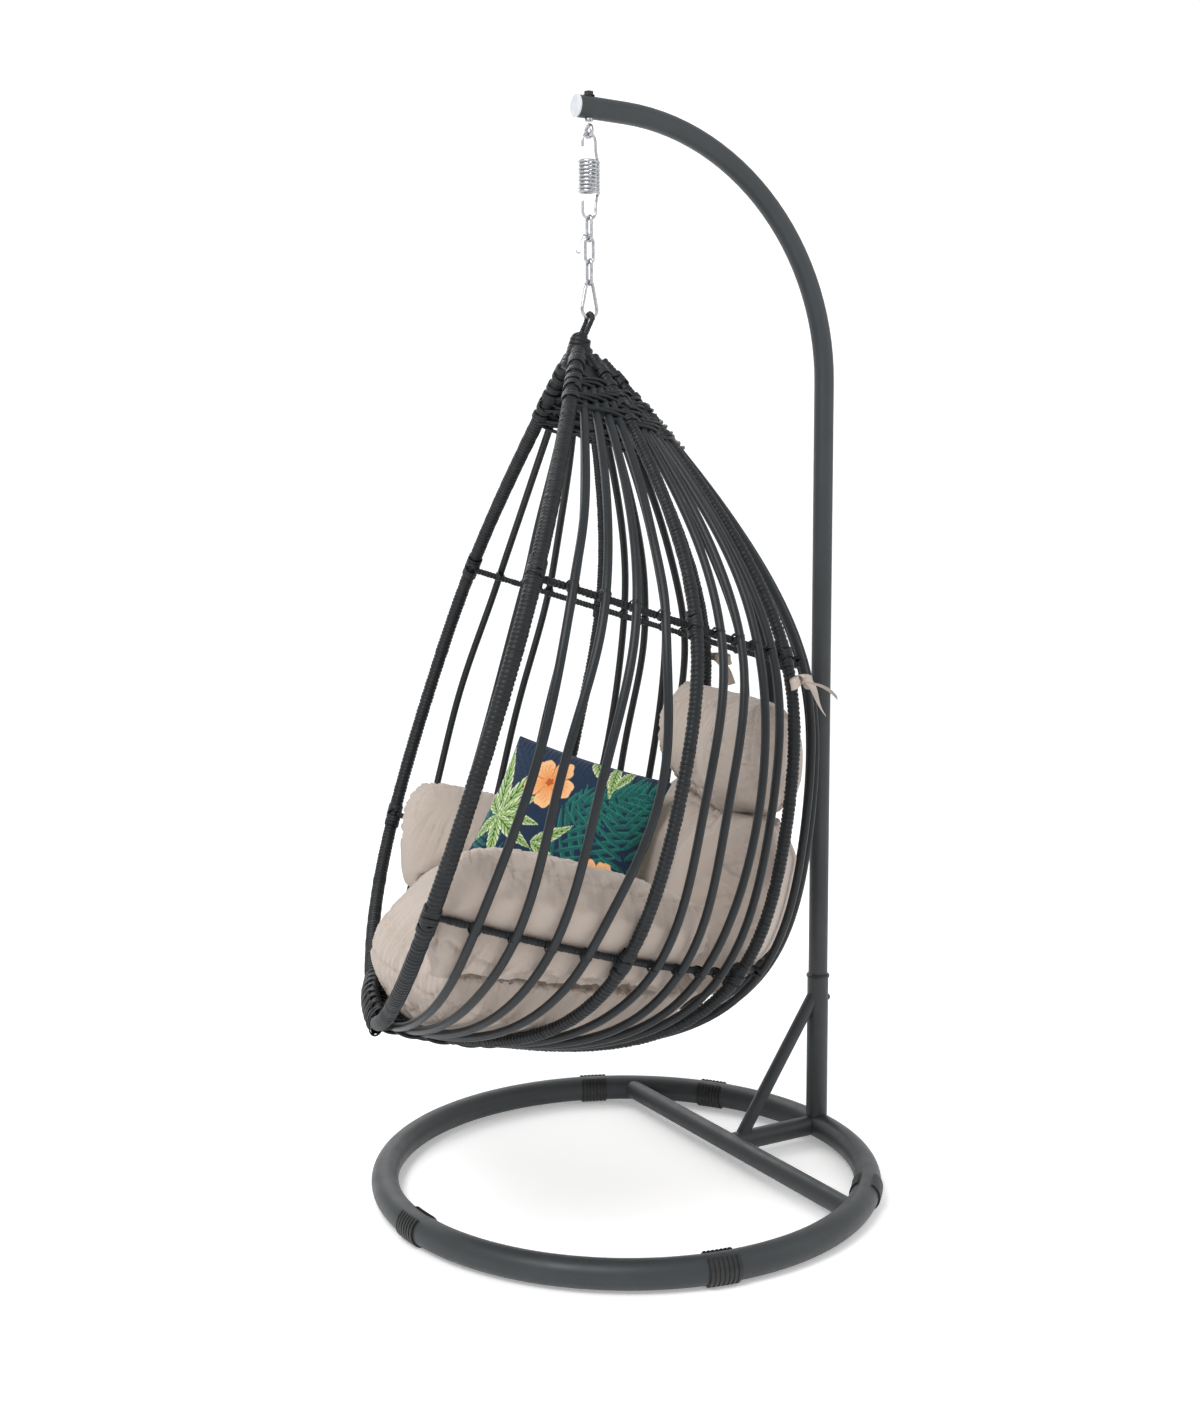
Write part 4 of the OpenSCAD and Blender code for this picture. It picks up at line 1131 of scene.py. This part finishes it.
def make_bow(node, side, seed):
    """A bow of cloth tape: two loops, two tails and the knot that holds them."""
    local = np.random.default_rng(seed)
    width = 17 * MM
    u = np.linspace(0, 1, 40)
    strips = []
    for k in (-1, 1):
        out = 44 * MM + local.uniform(-3, 3) * MM
        line = np.stack([7 * MM * np.sin(math.tau * u), k * out * np.sin(math.pi * u) ** 0.8,
                         -9 * MM * np.sin(math.pi * u) ** 1.5 * (1 + 0.3 * k)], -1)
        strips.append((line, np.stack([0.25 * np.sin(math.pi * u), 0.1 * u, np.ones(40)], -1)))
        swing = 48 if k * side < 0 else 12
        line = np.stack([3 + swing * u + 5 * np.sin(4 * u + k), k * (4 + 16 * u + 3 * np.sin(5 * u)),
                         -3 - (76 - 0.5 * swing) * u + 6 * np.sin(3 * u)], -1) * MM
        wide = np.stack([0.5 * np.sin(3 * u + k), np.full(40, k * 1.0), 0.45 * np.ones(40)], -1)
        strips.append((line, wide))
    turn = np.linspace(0, math.tau * 0.97, 40)
    strips.append((np.stack([7.5 * MM * np.cos(turn), np.zeros(40), 7.5 * MM * np.sin(turn)], -1),
                   np.tile([0, 1.0, 0], (40, 1))))
    spin = np.array(Matrix.Rotation(side * (math.pi - math.radians(REAR)), 3, "Z")
                    @ Matrix.Rotation(math.radians(-25), 3, "Y"))
    base = local_egg(TIE_T, side * REAR) + inward(TIE_T, side * REAR) * (-RAIL_R - 7 * MM)
    parts, length = [], 0.0
    for line, wide in strips:
        part, run = tape(to_world(line @ spin.T + base), turn_to_world(wide @ spin.T), width)
        parts.append(part)
        length += run
    bow = make(node + "_bow", *join(parts), CLOTH, node, slot="cushion_fabric")


make_bow("near_tie", 1, 81)
make_bow("far_tie", -1, 82)


# ---- stand and hanging gear -----------------------------------------------------------------
def paint(mat, *nodes):
    for node in nodes:
        obj = frame["nodes"][node]
        for holder in obj.material_slots:
            holder.material = mat
        obj.data.polygons.foreach_set("use_smooth", [True] * len(obj.data.polygons))


paint(COAT, "base_ring", "cross_bar", "short_bar", "brace", "lower_post", "arm")
paint(BLACK, "base_clips", "post_collar", "post_bolt", "eye_nut")
paint(GREY_CAP, "end_cap")
paint(ZINC, "post_insert", "eye_bolt", "spring", "link_1", "link_2", "link_3", "side_hook", "snap_body",
      "snap_gate", "snap_pin")


def make_spring():
    """The steel spring as one smooth wire: a hook, close coils and a hook for the first link.
    """
    wire, coil, turns, hook = 2.5 * MM, 17 * MM, 9, 13 * MM
    low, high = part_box("spring")
    top, bottom = high[2] - wire - hook, low[2] + wire + hook
    coil_top, coil_low = 1868 * MM, 1810 * MM
    a = np.linspace(math.pi, 0, 24)
    upper = np.stack([hook * np.cos(a), 0 * a, top + hook * np.sin(a)], -1)
    b = np.linspace(0, turns * math.tau, turns * 40)
    coils = np.stack([coil * np.cos(b), coil * np.sin(b),
                      coil_top + (coil_low - coil_top) * b / b[-1]], -1)
    lower = np.stack([hook * np.cos(a[::-1]), 0 * a, bottom - hook * np.sin(a)], -1)
    point = lambda out, height: [hook + out * MM, 0, height * MM]
    tip = lambda height: [-hook, 0, height * MM]
    line = np.vstack([[tip(1890), tip(1897)], upper, [point(0, 1894), point(1, 1882)],
                      [[hook + 3 * MM, 0, coil_top + 5 * MM]], coils,
                      [[hook + 3 * MM, 0, coil_low - 5 * MM], point(1, 1796), point(0, 1786)],
                      lower, [tip(1787), tip(1796)]])
    path = Path(line + np.array([HANG.x, HANG.y, 0]), up=(0, 1, 0))
    skin = tube(path, wire, 900, sides=12)
    obj = make("spring_wire", *skin, ZINC, "spring", body=None, slot="zinc")
    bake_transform(obj)


make_spring()


# ---- floor and light ------------------------------------------------------------------------
def make_floor():
    """A paper sheet that lies under the chair and curves up behind it."""
    size, rise, bend = 14.0, 6.0, 2.5
    far = size * 0.45
    profile = [(-size, 0), (far, 0)]
    profile += [(far + bend * math.sin(a), bend - bend * math.cos(a))
                for a in np.linspace(0.1, math.pi / 2, 12)]
    profile.append((far + bend, rise))
    heading = np.array([math.sin(HEADING), math.cos(HEADING)])
    side = np.array([heading[1], -heading[0]])
    verts = [[*(heading * d + side * w), z] for d, z in profile for w in (-size, size)]
    faces = [[2 * i, 2 * i + 1, 2 * i + 3, 2 * i + 2] for i in range(len(profile) - 1)]
    mesh = bpy.data.meshes.new("floor")
    mesh.from_pydata(verts, [], faces)
    mesh.polygons.foreach_set("use_smooth", [True] * len(faces))
    mesh.materials.append(PAPER)
    floor = bpy.data.objects.new("floor", mesh)
    scene.collection.objects.link(floor)


make_floor()
world = bpy.data.worlds.new("studio")
world.use_nodes = True
world.node_tree.nodes["Background"].inputs["Color"].default_value = (1, 1, 1, 1)
world.node_tree.nodes["Background"].inputs["Strength"].default_value = 0.74
scene.world = world
CENTRE = (RING.x, RING.y, 0.9)
make_light("key", (-2.6, -1.6, 3.8), CENTRE, (1.8, 1.8), 105)
make_light("fill", (2.8, -2.6, 2.2), CENTRE, (2.5, 2.5), 18)
make_light("back", (0.5, 3.5, 3.4), CENTRE, (3, 2), 60)
